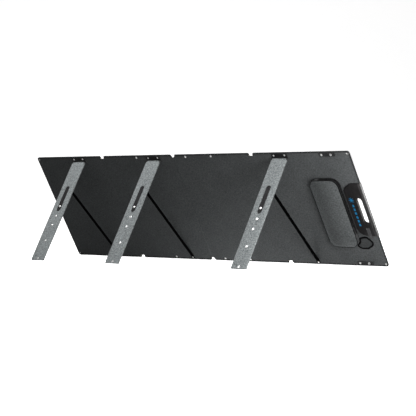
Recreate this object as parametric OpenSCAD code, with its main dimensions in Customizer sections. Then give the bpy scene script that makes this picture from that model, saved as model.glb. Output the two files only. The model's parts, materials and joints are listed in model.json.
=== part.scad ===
// Four-section folding solar panel, standing on its bottom edge and three prop legs.
// All sizes in millimetres. X runs along the length, +Z is up, the sun side faces +Y.
// Origin: middle of the footprint, on the ground. Each piece is drawn in the panel's
// own frame (x along, y up the panel, z out of the back face at z = 0) and then stood up.
// Endings: _l length, _w width, _h height, _t thickness, _r radius,
// _u distance along a leg from its hinge.

/* [Panel] */
// overall length of the opened panel
panel_l = 2018; // [1600:1:2400]
// height of the panel along its own face
panel_h = 590; // [500:1:700]
// angle between panel and ground, degrees
tilt = 60; // [40:1:75]
// width of section 1, the plain end
sec1_w = 479; // [420:1:520]
// width of section 2
sec2_w = 484; // [420:1:520]
// width of section 3
sec3_w = 491.5; // [420:0.5:540]
// flexible width at folds 1 and 3
fold_gap = 20; // [14:1:30]
// distance between the two creases of fold 2
crease_gap = 12; // [8:1:20]
// stiff slat between the creases of fold 2
slat_w = 8; // [5:0.5:12]
// outer corner radius
corner_r = 12; // [4:1:20]
// notch width at a fold line
notch_w = 31; // [20:1:40]
// notch depth at a fold line
notch_d = 15; // [8:1:20]

/* [Layers] */
// thickness of the back fabric
skin_t = 0.8; // [0.4:0.1:1.5]
// thickness of the stiffening board
core_t = 2.8; // [1.5:0.1:4]
// thickness of a solar cell
cell_t = 0.2; // [0.1:0.05:0.5]
// thickness of the clear front film
film_t = 0.5; // [0.3:0.1:1]
// thickness of the front fabric over the film edge
border_t = 0.7; // [0.4:0.1:1.5]
// how far the bound hem stands off both faces
hem_t = 0.7; // [0.3:0.1:1]
// width of the bound hem on both faces
hem_w = 6; // [4:0.5:10]
// cell columns in a section
cell_cols = 3; // [2:1:5]
// cell rows in a section
cell_rows = 6; // [3:1:8]
// gap between cells
cell_gap = 2.5; // [1:0.5:5]

/* [Legs] */
// x of the leg on section 1
leg1_x = -703; // [-760:1:-650]
// x of the leg on section 2
leg2_x = -178.5; // [-230:0.5:-130]
// x of the leg on section 4
leg3_x = 613.5; // [560:0.5:660]
// leg width
leg_w = 90; // [60:1:120]
// leg thickness
leg_t = 4.5; // [3:0.5:8]
// hinge height up the panel
hinge_y = 559; // [520:1:559]
// hinge stand-off from the back face
hinge_z = 6.5; // [5:0.5:10]
// opening angle of the legs, degrees
leg_open = 60.4; // [40:0.1:75]
// hinge pin radius
pin_r = 1.5; // [1:0.1:2.5]
// strap hole distance from the hinge
hole_u = 143; // [100:1:200]
// distances of cap and studs from the hinge
stud_u = [254.5, 309, 361, 448]; // [200:0.5:520]
// end of the strap tongue on the leg
tongue_u = 280; // [260:1:290]
// strap width
strap_w = 20; // [12:1:25]
// strap thickness
strap_t = 1.5; // [1:0.1:3]

/* [Metalwork] */
// distance of eyelets and studs from the edges
edge_in = 12; // [9:0.5:18]
// eyelet hole radius
eye_r = 3; // [2:0.1:4]
// flange radius of eyelets and studs
flange_r = 5.5; // [4:0.1:6]
// x of the snap studs
stud_x = [-290.5, 36.5, 198.5]; // [-400:0.5:400]
// x of the closure tab rivets
tab_x = 855.5; // [820:0.5:880]
// distance from tab rivet to tab snap
tab_snap = 50.5; // [35:0.5:60]

/* [Handle] */
// left edge of the handle
handle_x = 909; // [880:1:930]
// bottom edge of the handle
handle_y0 = 162; // [120:1:200]
// top edge of the handle
handle_y1 = 430; // [380:1:460]
// thickness of the back half
handle_t = 8; // [5:0.5:12]
// hand slot width
slot_w = 30; // [30:1:50]
// hand slot length
slot_l = 130; // [100:1:150]

/* [Pouch] */
// left edge of the pouch
pouch_x0 = 743; // [700:1:760]
// right edge of the pouch
pouch_x1 = 899; // [860:1:905]
// bottom of the pouch
pouch_y0 = 111; // [80:1:140]
// top of the pouch
pouch_y1 = 455; // [400:1:480]
// corner radius of the pouch
pouch_r = 38; // [20:1:60]
// height of the side gusset
gusset_h = 19; // [12:1:30]
// height of the crowned lid above the gusset
crown_h = 10; // [4:1:18]

/* [Show] */
// node to draw

/* [Hidden] */
$fn = 64;
overlap = 0.05;

// layers, from the back face at z = 0 towards the sun side
panel_t = skin_t + core_t + cell_t + film_t + border_t;
board_back = -skin_t;
board_front = board_back - core_t;
film_back = board_front - cell_t;
film_front = film_back - film_t;

// sections, numbered from 0 at the left
x_left = -panel_l / 2;
x_right = panel_l / 2;
fold_x = [x_left + sec1_w, x_left + sec1_w + sec2_w, x_left + sec1_w + sec2_w + sec3_w];
fold_half = fold_gap / 2;
fold2_half = crease_gap - slat_w / 2;   // middle of fold 2 to a section edge
sections = [                            // [left x, right x]
  [x_left, fold_x[0] - fold_half],
  [fold_x[0] + fold_half, fold_x[1] - fold2_half],
  [fold_x[1] + fold2_half, fold_x[2] - fold_half],
  [fold_x[2] + fold_half, x_right]];
free_end = [[true, false], [false, false], [false, false], [false, true]];  // [left, right]
board_inset = 1;                        // board and back cover, in from the section outline
bite = [943, 205, 380];                 // cut-out in the right edge: x, low y, high y

// clear window of a section
window_end = 22;                        // margin at a free end
window_fold = 10;                       // margin at a fold
window_edge = 24;                       // margin at the top and bottom edges
window4_right = 905;                    // right end of the window of section 4
film_lap = 4;                           // film hidden under the border
cell_margin = 5;
cell_cut = 7;                           // cut-off corner of a cell

// x of the parts fixed through each section
leg_x = [leg1_x, leg2_x, leg3_x];
section_legs = [[leg1_x], [leg2_x], [], [leg3_x]];
section_studs = [[], [stud_x[0]], [stud_x[1], stud_x[2]], []];
section_tabs = [[], [], [], [tab_x]];
section_eyelets = [[x_left + edge_in], [], [], [x_right - edge_in]];

// rivets, studs and caps
shank_r = 2;
head_r = 4.5;
rivet_hole_r = 2.1;
press_hole_r = 2.05;
// profiles, [radius, height above the base]
snap_stud_profile = [
  [shank_r, 0], [flange_r, 0], [flange_r, 0.5], [4.6, 0.8], [3, 0.9],
  [2.7, 1.4], [3.3, 1.9], [3.3, 2.3], [2.8, 2.7], [0, 2.8]];
leg_stud_profile = [
  [shank_r, 0], [6, 0], [6, 0.5], [5, 0.8], [3.1, 0.9],
  [2.8, 1.4], [3.4, 1.9], [3.4, 2.3], [2.9, 2.7], [0, 2.8]];
snap_cap_profile = [
  [shank_r, 0], [6.2, 0], [6.2, 0.7], [5.6, 1.5], [4.4, 2.05], [2.6, 2.35], [0, 2.45]];

// the hem rests on the ground, so the panel's own edge is lifted
lift = hem_t * cos(tilt);
// leg length that lets the end of the leg touch the ground
leg_len = (lift + hinge_y * sin(tilt) - hinge_z * cos(tilt)
           - leg_t / 2 * (sin(tilt) * sin(leg_open) - cos(tilt) * cos(leg_open)))
          / (sin(tilt) * cos(leg_open) + cos(tilt) * sin(leg_open));
// [y, z] of the outer corner of the leg's foot, and half of the footprint's depth
foot = [hinge_y - leg_len * cos(leg_open) + leg_t / 2 * sin(leg_open),
        hinge_z + leg_len * sin(leg_open) + leg_t / 2 * cos(leg_open)];
mid_y = (foot[0] * cos(tilt) + foot[1] * sin(tilt) - (panel_t + hem_t) * sin(tilt)) / 2;
eye_u = leg_len - 9.5;

// hinge plate
rivet_y = hinge_y + 17;
rivet_dx = 31.5;                        // plate rivets, either side of the leg's middle
plate_y0 = hinge_y + 5;
plate_y1 = hinge_y + 24.7;
plate_t = 2;
knuckle_r = 3.5;
knuckle_w = 4;                          // bearing blocks at the ends of the plate
strap_gap = 0.05;                       // strap to back face

// closure tabs
tab_y = [15, panel_h - 15];             // bottom, top
tab_z = 0.9;
tab_t = 1.6;
tab_r = 9;
tab_end = 67.5;                         // rivet to the centre of the rounded end

// handle
part_z = -panel_t / 2;                  // parting plane of the two halves
slot_x = 976;
slot_y = 292;
handle_front_x = 921;                   // left edge of the front half
lip_w = 2;                              // handle beyond the panel's right edge
mark_z = handle_t - 1.2;                // floor of the mark's pocket
screws = [[930, 226], [930, 362], [985, 183], [985, 404], [960, 195], [960, 392]];

// zip
track_w = 1.6;
track_t = 3;
track_z = gusset_h - 4;
slider_y = pouch_y0 + 96;

// junction box and cable
box = [760, 330, 850, 415];             // x0, y0, x1, y1
gland_x = (box[0] + box[2]) / 2;
cable_r = 2.6;
cable_z = 7;
turn_r = 15;
turn_y = 180;
plug_x = gland_x + 2 * turn_r;
plug_y = 270;

// ---------- helpers ----------
// from the panel's frame to the standing position
module stand() translate([0, mid_y, lift]) rotate([180 - tilt, 0, 0]) children();

// frame of leg i: x across, -y along the leg from the hinge, z out of its outer face
module leg_frame(i) translate([leg_x[i], hinge_y, hinge_z]) rotate([-leg_open, 0, 0]) children();

module slab(z0, z1) translate([0, 0, z0]) linear_extrude(z1 - z0) children();

// cylinder along +x
module rod_x(radius, length) rotate([0, 90, 0]) cylinder(r = radius, h = length);

module rounded_rect(x0, y0, x1, y1, r) {
  translate([x0 + r, y0]) square([x1 - x0 - 2 * r, y1 - y0]);
  translate([x0, y0 + r]) square([x1 - x0, y1 - y0 - 2 * r]);
  for (x = [x0 + r, x1 - r]) for (y = [y0 + r, y1 - r]) translate([x, y]) circle(r);
}

// stadium along x
module pill_x(x0, x1, y, r) {
  translate([x0 + r, y - r]) square([x1 - x0 - 2 * r, 2 * r]);
  for (x = [x0 + r, x1 - r]) translate([x, y]) circle(r);
}

// stadium along y
module pill_y(x, y0, y1, r) {
  translate([x - r, y0 + r]) square([2 * r, y1 - y0 - 2 * r]);
  for (y = [y0 + r, y1 - r]) translate([x, y]) circle(r);
}

// ---------- section outline and holes ----------
// fold notch in the bottom edge, tapering to a round-cornered floor
module notch(grow) {
  mouth = notch_w / 2 + grow;
  floor_half = 6;
  floor_r = 3;
  mouth_y = 2;
  below = -20;
  neck = floor_half + floor_r + grow;
  neck_y = notch_d - floor_r;
  polygon([[-mouth, below], [mouth, below], [mouth, mouth_y],
           [neck, neck_y], [-neck, neck_y], [-mouth, mouth_y]]);
  translate([-floor_half, 0]) square([2 * floor_half, notch_d + grow]);
  for (x = [-floor_half, floor_half]) translate([x, neck_y]) circle(floor_r + grow);
}

// outline of section i, set in by inset at free edges and by fold_inset at fold sides
module outline(i, inset, fold_inset) {
  left = sections[i][0] + (free_end[i][0] ? inset : fold_inset);
  right = sections[i][1] - (free_end[i][1] ? inset : fold_inset);
  r = max(corner_r - inset, 1);
  left_r = free_end[i][0] ? r : 0;
  right_r = free_end[i][1] ? r : 0;
  difference() {
    union() {
      translate([left + left_r, inset]) square([right - left - left_r - right_r, panel_h - 2 * inset]);
      for (side = [0, 1]) if (free_end[i][side]) {
        translate([side == 0 ? left : right - r - 1, inset + r])
          square([r + 1, panel_h - 2 * inset - 2 * r]);
        for (y = [inset + r, panel_h - inset - r])
          translate([side == 0 ? left + r : right - r, y]) circle(r);
      }
    }
    for (x = fold_x) {
      translate([x, 0]) notch(inset);
      translate([x, panel_h]) mirror([0, 1]) notch(inset);
    }
    if (i == 3) translate([bite[0], bite[1]]) square([200, bite[2] - bite[1]]);
  }
}

// clear window of section i: [x0, x1, y0, y1]
function window(i) = [
  sections[i][0] + (free_end[i][0] ? window_end : window_fold),
  i == 3 ? window4_right : sections[i][1] - window_fold,
  window_edge, panel_h - window_edge];

module window2d(i, grow, r) {
  w = window(i);
  rounded_rect(w[0] - grow, w[2] - grow, w[1] + grow, w[3] + grow, r);
}
module film2d(i) window2d(i, film_lap, 4);

function both_edges(x) = [[x, edge_in], [x, panel_h - edge_in]];
function leg_pins(x) = [[x - rivet_dx, rivet_y], [x + rivet_dx, rivet_y], [x, edge_in]];

// centres of everything riveted through section i
function pins(i) = concat(
  [for (x = section_legs[i]) for (p = leg_pins(x)) p],
  [for (x = section_studs[i]) for (p = both_edges(x)) p],
  [for (x = section_tabs[i]) for (y = tab_y) [x, y]]);

module drill(points, r) for (p = points) translate([p[0], p[1], -50]) cylinder(r = r, h = 100);

// through holes of section i
module holes(i) {
  for (x = section_eyelets[i]) drill(both_edges(x), eye_r + 0.7);
  drill(pins(i), rivet_hole_r);
  if (i == 3) drill(screws, rivet_hole_r);
}

// ---------- section layers ----------
module back_cover(i) color("dimgray") stand() difference() {
  slab(board_back, 0) outline(i, board_inset, board_inset);
  holes(i);
}

module core_board(i) color("tan") stand() difference() {
  slab(board_front, board_back) outline(i, board_inset, board_inset);
  holes(i);
}

module solar_cells(i) color("navy") stand() {
  w = window(i);
  cell_w = (w[1] - w[0] - 2 * cell_margin - (cell_cols - 1) * cell_gap) / cell_cols;
  cell_h = (w[3] - w[2] - 2 * cell_margin - (cell_rows - 1) * cell_gap) / cell_rows;
  cut = cell_cut;
  for (col = [0 : cell_cols - 1]) for (row = [0 : cell_rows - 1])
    translate([w[0] + cell_margin + col * (cell_w + cell_gap),
               w[2] + cell_margin + row * (cell_h + cell_gap), film_back])
      linear_extrude(cell_t) polygon([
        [cut, 0], [cell_w - cut, 0], [cell_w, cut], [cell_w, cell_h - cut],
        [cell_w - cut, cell_h], [cut, cell_h], [0, cell_h - cut], [0, cut]]);
}

module front_film(i) color([0.3, 0.4, 0.6, 0.5]) stand() slab(film_front, film_back) film2d(i);

// front fabric and the hem bound round the edges
module border_hem(i) color([0.2, 0.2, 0.22]) stand() {
  past = 5;                                          // cuts run this far past a face or fold
  hem_x = x_right - hem_w - 3;
  difference() {
    slab(-panel_t - hem_t, hem_t) outline(i, 0, 0);
    slab(board_front, past) outline(i, board_inset, board_inset);   // board and back cover
    slab(0, past) outline(i, hem_w, -past);          // open back, inside the hem
    slab(-panel_t - past, -panel_t) outline(i, hem_w, -past);       // hem stands proud in front
    slab(film_front, board_front + overlap) film2d(i);              // film pocket
    slab(-panel_t - past, 0) window2d(i, 0, 3);
    holes(i);
    if (i == 3) for (z = [0, -panel_t - past])       // hem stops at the handle
      translate([hem_x, handle_y0 - 1, z]) cube([50, handle_y1 - handle_y0 + 2, past]);
  }
}

module fold_strip(x0, x1) color([0.25, 0.25, 0.27]) stand()
  slab(-1.2, 0) translate([x0, notch_d]) square([x1 - x0, panel_h - 2 * notch_d]);

module fold_slat() color([0.25, 0.25, 0.27]) stand() slab(-panel_t, 0)
  rounded_rect(fold_x[1] - slat_w / 2, notch_d, fold_x[1] + slat_w / 2, panel_h - notch_d, 2);

// ---------- metalwork of each section ----------
function raise(profile, z) = [for (p = profile) [p[0], p[1] + z]];

// round part through the panel: cap on the sun side, profile on the back from height z
module through(profile, z = 0) {
  cap_z = -panel_t - 0.6;
  rotate_extrude() polygon(concat(
    [[0, cap_z], [4.2, cap_z], [head_r, -panel_t - 0.3], [head_r, -panel_t], [shank_r, -panel_t]],
    raise(profile, z)));
}

// round part with its base at z and a shank sunk below it
module pressed(profile, z, shank) rotate_extrude()
  polygon(concat([[0, z - shank], [shank_r, z - shank]], raise(profile, z)));

module rivet(z, h) through([
  [shank_r, 0], [head_r, 0], [head_r, h * 0.4], [3.6, h * 0.85], [2.2, h], [0, h]], z);

// eyelet of hole radius r through a plate lying between z0 and z1
module eyelet(z0, z1, r, flange) rotate_extrude() polygon([
  [r, z0 - 0.2], [r + 0.4, z0 - 0.7], [flange - 0.4, z0 - 0.7], [flange, z0 - 0.4], [flange, z0],
  [r + 0.6, z0], [r + 0.6, z1],
  [flange, z1], [flange, z1 + 0.4], [flange - 0.4, z1 + 0.7], [r + 0.4, z1 + 0.7], [r, z1 + 0.2]]);

// plate rivets, hinge pin and strap rivet of the leg at x
module hinge_metal(x) {
  for (side = [-1, 1]) translate([x + side * rivet_dx, rivet_y, 0]) rivet(plate_t, 1.2);
  translate([x - leg_w / 2 + 1, hinge_y, hinge_z]) rod_x(pin_r, leg_w - 2);
  translate([x, edge_in, 0]) rivet(strap_t + strap_gap, 1.1);
}

// shouldered pivot that a closure tab turns on
module tab_pivot() {
  play = 0.05;
  top = tab_z + tab_t;
  through([
    [shank_r, 0], [head_r, 0], [head_r, tab_z - play], [shank_r, tab_z - play],
    [shank_r, top + play], [head_r, top + play], [head_r, top + 0.5], [3.4, top + 1],
    [0, top + 1.2]]);
}

module metalwork(i) color("silver") stand() {
  for (x = section_legs[i]) hinge_metal(x);
  for (x = section_eyelets[i]) for (p = both_edges(x))
    translate(p) eyelet(-panel_t, 0, eye_r, flange_r);
  for (x = section_studs[i]) for (p = both_edges(x)) translate(p) through(snap_stud_profile);
  for (x = section_tabs[i]) for (y = tab_y) translate([x, y, 0]) tab_pivot();
}

// ---------- legs ----------
// riveted plate with two bearing blocks for the hinge pin
module hinge_plate(i) color([0.12, 0.12, 0.13]) stand() translate([leg_x[i], 0, 0]) difference() {
  union() {
    slab(0, plate_t) rounded_rect(-leg_w / 2, plate_y0, leg_w / 2, plate_y1, 3);
    for (side = [-1, 1]) translate([side * (leg_w / 2 - knuckle_w / 2), 0, 0]) {
      translate([-knuckle_w / 2, hinge_y - 2.5, 0]) cube([knuckle_w, 9, hinge_z - 1]);
      translate([-knuckle_w / 2, hinge_y, hinge_z]) rod_x(knuckle_r, knuckle_w);
    }
  }
  translate([-leg_w / 2 - 1, hinge_y, hinge_z]) rod_x(pin_r + 0.03, leg_w + 2);
  for (side = [-1, 1]) translate([side * rivet_dx, rivet_y, -1]) cylinder(r = rivet_hole_r, h = 10);
}

// flat leg with its own knuckle between the bearing blocks
module leg_board(i) color([0.6, 0.62, 0.62]) stand() leg_frame(i) difference() {
  middle_w = leg_w - 2 * knuckle_w - 1;
  slot_half = strap_w / 2 + 1.5;
  union() {
    translate([0, 0, -leg_t / 2]) linear_extrude(leg_t) {
      rounded_rect(-leg_w / 2, -leg_len, leg_w / 2, -leg_len + 40, 4);      // foot
      translate([-leg_w / 2, -leg_len + 20]) square([leg_w, leg_len - 25]);
      translate([-middle_w / 2, -12]) square([middle_w, 12]);
    }
    translate([-middle_w / 2, 0, 0]) rod_x(knuckle_r, middle_w);
  }
  translate([-60, 0, 0]) rod_x(pin_r + 0.05, 120);
  translate([0, 0, -10]) linear_extrude(20) pill_x(-slot_half, slot_half, -hole_u, 3);
  for (u = stud_u) translate([0, -u, 0]) cylinder(r = press_hole_r, h = 10);
  translate([0, -eye_u, -10]) cylinder(r = eye_r + 0.65, h = 20);
}

// cap over the strap tongue, three studs and the eyelet at the foot
module leg_studs(i) color("silver") stand() leg_frame(i) {
  sunk = 1.5;
  translate([0, -stud_u[0], 0]) pressed(snap_cap_profile, leg_t / 2 + strap_t, strap_t + sunk);
  for (k = [1 : 3]) translate([0, -stud_u[k], 0]) pressed(leg_stud_profile, leg_t / 2, sunk);
  translate([0, -eye_u, 0]) eyelet(-leg_t / 2, leg_t / 2, eye_r, 6.2);
}

// end of the strap, through the slot and down the outer face
module strap_tongue(i) color([0.1, 0.1, 0.1]) stand() leg_frame(i) difference() {
  union() {
    translate([0, 0, leg_t / 2]) linear_extrude(strap_t) pill_y(0, -tongue_u, -(hole_u - 5), 12);
    translate([1 - strap_w / 2, -hole_u - 1, 0]) cube([strap_w - 2, strap_t, leg_t / 2 + 1]);
  }
  translate([0, -stud_u[0], 0]) cylinder(r = press_hole_r, h = 20);
}

// strap between the bottom edge of the panel and the leg slot, drawn in [y, z]
module leg_strap(i) color([0.1, 0.1, 0.1]) stand() {
  slot_u = hole_u + 0.3;
  slot = [hinge_y - slot_u * cos(leg_open), hinge_z + slot_u * sin(leg_open)];
  bend_y = 21;
  run = slot - [bend_y, strap_t / 2];
  dir = run / norm(run);
  half = strap_t / 2;
  side = [dir[1] * half, -dir[0] * half];            // centre line to the lower face
  mitre = half * (1 - dir[0]) / dir[1];
  end = slot - dir * 0.4;
  start_y = hem_w + 0.5;
  top_z = strap_t + strap_gap;
  difference() {
    translate([leg_x[i] - strap_w / 2, 0, 0]) rotate([90, 0, 90]) linear_extrude(strap_w) polygon([
      [start_y, strap_gap], [bend_y + mitre, strap_gap], end + side,
      end - side, [bend_y - mitre, top_z], [start_y, top_z]]);
    translate([leg_x[i], edge_in, -5]) cylinder(r = rivet_hole_r, h = 20);
  }
}

// ---------- closure tabs ----------
module closure_tab(k) color([0.12, 0.12, 0.13]) stand() translate([tab_x, tab_y[k], tab_z]) {
  difference() {
    linear_extrude(tab_t) {
      translate([tab_end, 0]) circle(tab_r);
      translate([-5, -tab_r]) square([tab_end + 5, 2 * tab_r]);
      pill_y(-5, -tab_r, tab_r, tab_r - 0.1);
    }
    translate([0, 0, -5]) cylinder(r = 2.06, h = 20);
    translate([tab_snap, 0, -5]) cylinder(r = press_hole_r, h = 20);
  }
  translate([tab_snap, 0, 0]) pressed(snap_cap_profile, tab_t + 0.02, tab_t);
}

// ---------- handle ----------
// outline of the handle, set in by d, with its left edge at x
module handle2d(d, x) {
  y0 = handle_y0 + d;
  y1 = handle_y1 - d;
  right = x_right + lip_w - d;
  polygon([
    [x + d, y0 + 38 - d * 0.8],
    [x + 8 + d * 0.8, y0 + 18 - d * 0.39],
    [x + 24 + d * 0.46, y0 + 6 - d * 0.11],
    [x + 43 + d * 0.15, y0],
    [right, y0],
    [right, y1],
    [x + 46 + d * 0.26, y1],
    [x + 14 + d * 0.6, y1 - 18 + d * 0.2],
    [x + d, y1 - 32 + d * 0.59]]);
}

module slot2d(grow)
  pill_y(slot_x, slot_y - slot_l / 2 - grow, slot_y + slot_l / 2 + grow, slot_w / 2 + grow);

// block that fills the cut-out in the panel's edge
module bite_fill(z0, z1) {
  play = 0.4;
  slab(z0, z1) translate([bite[0] + play, bite[1] + play])
    square([x_right + lip_w - bite[0] - play, bite[2] - bite[1] - 2 * play]);
}

// lip over the panel's right edge
module edge_lip(z0, z1) translate([x_right + 0.05, handle_y0 + 1, z0])
  cube([lip_w - 0.05, handle_y1 - handle_y0 - 2, z1 - z0]);

// shallow field at the left of the handle
module field2d() difference() {
  handle2d(8, handle_x);
  translate([953, 0]) square([100, 1000]);
}

// plain sun disc, eight rays and a row of bars
module mark2d() {
  translate([936, 347]) {
    circle(7);
    for (a = [0 : 45 : 315]) rotate(a) translate([9, -1.2]) square([5, 2.4]);
  }
  for (k = [0 : 5]) translate([931, 312 - k * 19.5]) square([10, 12]);
}

module handle_back() color([0.16, 0.15, 0.16]) stand() difference() {
  union() {
    // edge stepped in towards the outer face
    slab(0, handle_t - 3) handle2d(0, handle_x);
    slab(handle_t - 3 - overlap, handle_t - 1.4) handle2d(0.8, handle_x);
    slab(handle_t - 1.4 - overlap, handle_t) handle2d(2.4, handle_x);
    bite_fill(part_z, 1);
    edge_lip(part_z, 1);
  }
  // hand slot, stepped wider towards the outer face
  slab(-20, 20) slot2d(0);
  slab(handle_t - 1.2, 20) slot2d(1.6);
  slab(handle_t - 2.4, handle_t - 1.1) slot2d(0.8);
  // field inside a raised rim, with the mark in it
  slab(handle_t - 0.8, 20) field2d();
  slab(mark_z, 20) mark2d();
  for (p = screws) translate([p[0], p[1], -20]) cylinder(r = 1.55, h = 20 + handle_t - 3);
}

module handle_mark() color([0.06, 0.5, 0.75]) stand() slab(mark_z, handle_t - 0.7) mark2d();

module handle_front() color([0.16, 0.15, 0.16]) stand() difference() {
  step_z = -panel_t - 1;
  union() {
    slab(step_z, -panel_t) handle2d(0, handle_front_x);
    slab(step_z - 1, step_z + overlap) handle2d(1, handle_front_x);
    bite_fill(step_z, part_z);
    edge_lip(step_z, part_z);
  }
  slab(-20, 20) slot2d(0);
  slab(-20, step_z) slot2d(1);
  for (p = screws) translate([p[0], p[1], -20]) {
    cylinder(r = 1.7, h = 40);
    cylinder(r = 3, h = 20 - panel_t - 0.6);         // head recess
  }
}

module handle_screws() color("gray") stand() for (p = screws) translate(p) difference() {
  rotate_extrude() polygon([
    [0, -panel_t - 1.9], [2.6, -panel_t - 1.9], [2.8, -panel_t - 1.7], [2.8, -panel_t - 0.6],
    [1.5, -panel_t - 0.6], [1.5, handle_t - 4], [0.9, handle_t - 3.3], [0, handle_t - 3.3]]);
  translate([0, 0, -panel_t - 3]) cylinder(r = 1.2, h = 1.8, $fn = 6);
}

// webbing keeper on the lower end of the handle, drawn in [y, z]
module keeper_strap() color([0.25, 0.25, 0.26]) stand()
  translate([963, 0, 0]) rotate([90, 0, 90]) linear_extrude(20) polygon([
    [206, handle_t], [206, handle_t + 1.4], [163, handle_t + 1.4], [146.5, 5.8],
    [145.5, 4.3], [147.5, 4.3], [163, handle_t]]);

// ---------- pouch ----------
module pouch2d(d)
  rounded_rect(pouch_x0 + d, pouch_y0 + d, pouch_x1 - d, pouch_y1 - d, pouch_r - d);

module pouch_tray() color([0.1, 0.1, 0.1]) stand() difference() {
  slab(0, gusset_h) pouch2d(0);
  slab(1.2, gusset_h + 1) pouch2d(2);
}

// hull of pouch outlines; base and layers [top, inset] are measured from the gusset's rim
module crown(base, layers) hull() for (layer = layers)
  slab(gusset_h + base, gusset_h + layer[0]) pouch2d(layer[1], $fn = 32);

// crowned hollow shell just above the gusset
module pouch_lid() color([0.33, 0.35, 0.35]) stand() difference() {
  crown(0.4, [[3, 0], [0.65 * crown_h, 1.8], [0.88 * crown_h, 7], [crown_h, 18]]);
  crown(-1, [[2, 2.4], [0.65 * crown_h - 1.6, 5], [crown_h - 2.2, 18]]);
}

// zip band round the top and the right side
module zipper_track() color([0.05, 0.05, 0.05]) stand() difference() {
  past = 20;
  height = pouch_y1 - pouch_y0 + 2 * past;
  slab(track_z, track_z + track_t) pouch2d(-track_w);
  slab(gusset_h - 10, gusset_h + 10) pouch2d(0);
  translate([pouch_x0 - past, pouch_y0 - past, 0]) {
    cube([pouch_x1 - pouch_x0 + 2 * past, 82, 60]);
    cube([past + pouch_r, height, 60]);
  }
}

// slider that straddles the zip band, with its pull hanging from it
module zipper_slider() color("silver") stand()
  translate([pouch_x1, slider_y, track_z + track_t / 2]) {
    difference() {
      translate([0.1, -6, -3]) cube([4.4, 12, 6]);
      translate([-1, -7, -1.6]) cube([2.75, 14, 3.2]);
    }
    difference() {
      translate([2.6, 0, 0]) rotate([0, 90, 0]) linear_extrude(1.4) pill_y(0, -26, -4, 2.6);
      translate([-1, -22.5, 0]) rod_x(1.4, 10);
    }
  }

// ---------- cable parts ----------
// leaf shape with two round lobes, cut clear of the pouch's corner
module flap2d(d) difference() {
  hull() {
    translate([944, 119]) circle(28 - d);
    translate([899, 116]) circle(25 - d);
    translate([912 + d, 140]) square([32 - 2 * d, 18 - d]);
  }
  pouch2d(-1.2 - d);
}

// flat flap with a raised rim
module cable_flap() color([0.3, 0.31, 0.31]) stand() union() {
  slab(0.3, 2.1) flap2d(0);
  slab(2, 4) difference() {
    flap2d(0);
    flap2d(4);
  }
}

// box with a stepped top and a cable gland on its lower side
module junction_box() color([0.1, 0.1, 0.11]) stand() difference() {
  step = 2.5;
  union() {
    slab(1.2, 12) rounded_rect(box[0], box[1], box[2], box[3], 6);
    slab(11.9, 14.5) rounded_rect(box[0] + step, box[1] + step, box[2] - step, box[3] - step, 5);
    translate([gland_x, box[1] + 1, cable_z]) rotate([90, 0, 0]) cylinder(r = 4.5, h = 11);
  }
  translate([gland_x, box[1] + 5, cable_z]) rotate([90, 0, 0]) cylinder(r = cable_r + 0.1, h = 30);
}

// straight run of cable down the panel from y to the turn
module cable_run(x, y)
  translate([x, y, 0]) rotate([90, 0, 0]) cylinder(r = cable_r, h = y - turn_y);

// lead out of the gland, down, round and back up beside itself
module output_cable() color([0.06, 0.06, 0.06]) stand() translate([0, 0, cable_z]) {
  cable_run(gland_x, box[1] + 4);
  translate([gland_x + turn_r, turn_y, 0]) rotate([0, 0, 180])
    rotate_extrude(angle = 180) translate([turn_r, 0]) circle(cable_r);
  cable_run(plug_x, plug_y);
}

// round plug with a ribbed strain relief and an open barrel
module cable_plug() color([0.06, 0.06, 0.06]) stand()
  translate([plug_x, plug_y, cable_z]) rotate([-90, 0, 0]) rotate_extrude() polygon([
    [0, 0], [3.4, 0], [3.4, 2], [3, 2], [3, 3.5], [3.8, 3.5], [3.8, 5.5], [3.3, 5.5],
    [3.3, 7], [4.4, 8], [5, 10], [5, 27], [4.4, 28.5], [4, 28.5], [4, 38], [2.9, 38],
    [2.9, 30], [0, 30]]);

// ---------- draw ----------
back_cover(0);  // back_cover_1
back_cover(1);  // back_cover_2
back_cover(2);  // back_cover_3
back_cover(3);  // back_cover_4
core_board(0);  // core_board_1
core_board(1);  // core_board_2
core_board(2);  // core_board_3
core_board(3);  // core_board_4
solar_cells(0);  // solar_cells_1
solar_cells(1);  // solar_cells_2
solar_cells(2);  // solar_cells_3
solar_cells(3);  // solar_cells_4
front_film(0);  // front_film_1
front_film(1);  // front_film_2
front_film(2);  // front_film_3
front_film(3);  // front_film_4
border_hem(0);  // border_hem_1
border_hem(1);  // border_hem_2
border_hem(2);  // border_hem_3
border_hem(3);  // border_hem_4
fold_strip(sections[0][1], sections[1][0]);  // fold_strip_1
fold_strip(sections[1][1], fold_x[1] - slat_w / 2);  // fold_strip_2a
fold_slat();  // fold_slat_2
fold_strip(fold_x[1] + slat_w / 2, sections[2][0]);  // fold_strip_2b
fold_strip(sections[2][1], sections[3][0]);  // fold_strip_3
hinge_plate(0);  // hinge_plate_1
hinge_plate(1);  // hinge_plate_2
hinge_plate(2);  // hinge_plate_3
leg_board(0);  // leg_board_1
leg_board(1);  // leg_board_2
leg_board(2);  // leg_board_3
leg_studs(0);  // leg_studs_1
leg_studs(1);  // leg_studs_2
leg_studs(2);  // leg_studs_3
strap_tongue(0);  // strap_tongue_1
strap_tongue(1);  // strap_tongue_2
strap_tongue(2);  // strap_tongue_3
leg_strap(0);  // leg_strap_1
leg_strap(1);  // leg_strap_2
leg_strap(2);  // leg_strap_3
metalwork(0);  // metalwork_1
metalwork(1);  // metalwork_2
metalwork(2);  // metalwork_3
metalwork(3);  // metalwork_4
closure_tab(1);  // closure_tab_top
closure_tab(0);  // closure_tab_bottom
handle_back();
handle_front();
handle_screws();
handle_mark();
keeper_strap();
pouch_tray();
pouch_lid();
zipper_track();
zipper_slider();
cable_flap();
junction_box();
output_cable();
cable_plug();
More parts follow.
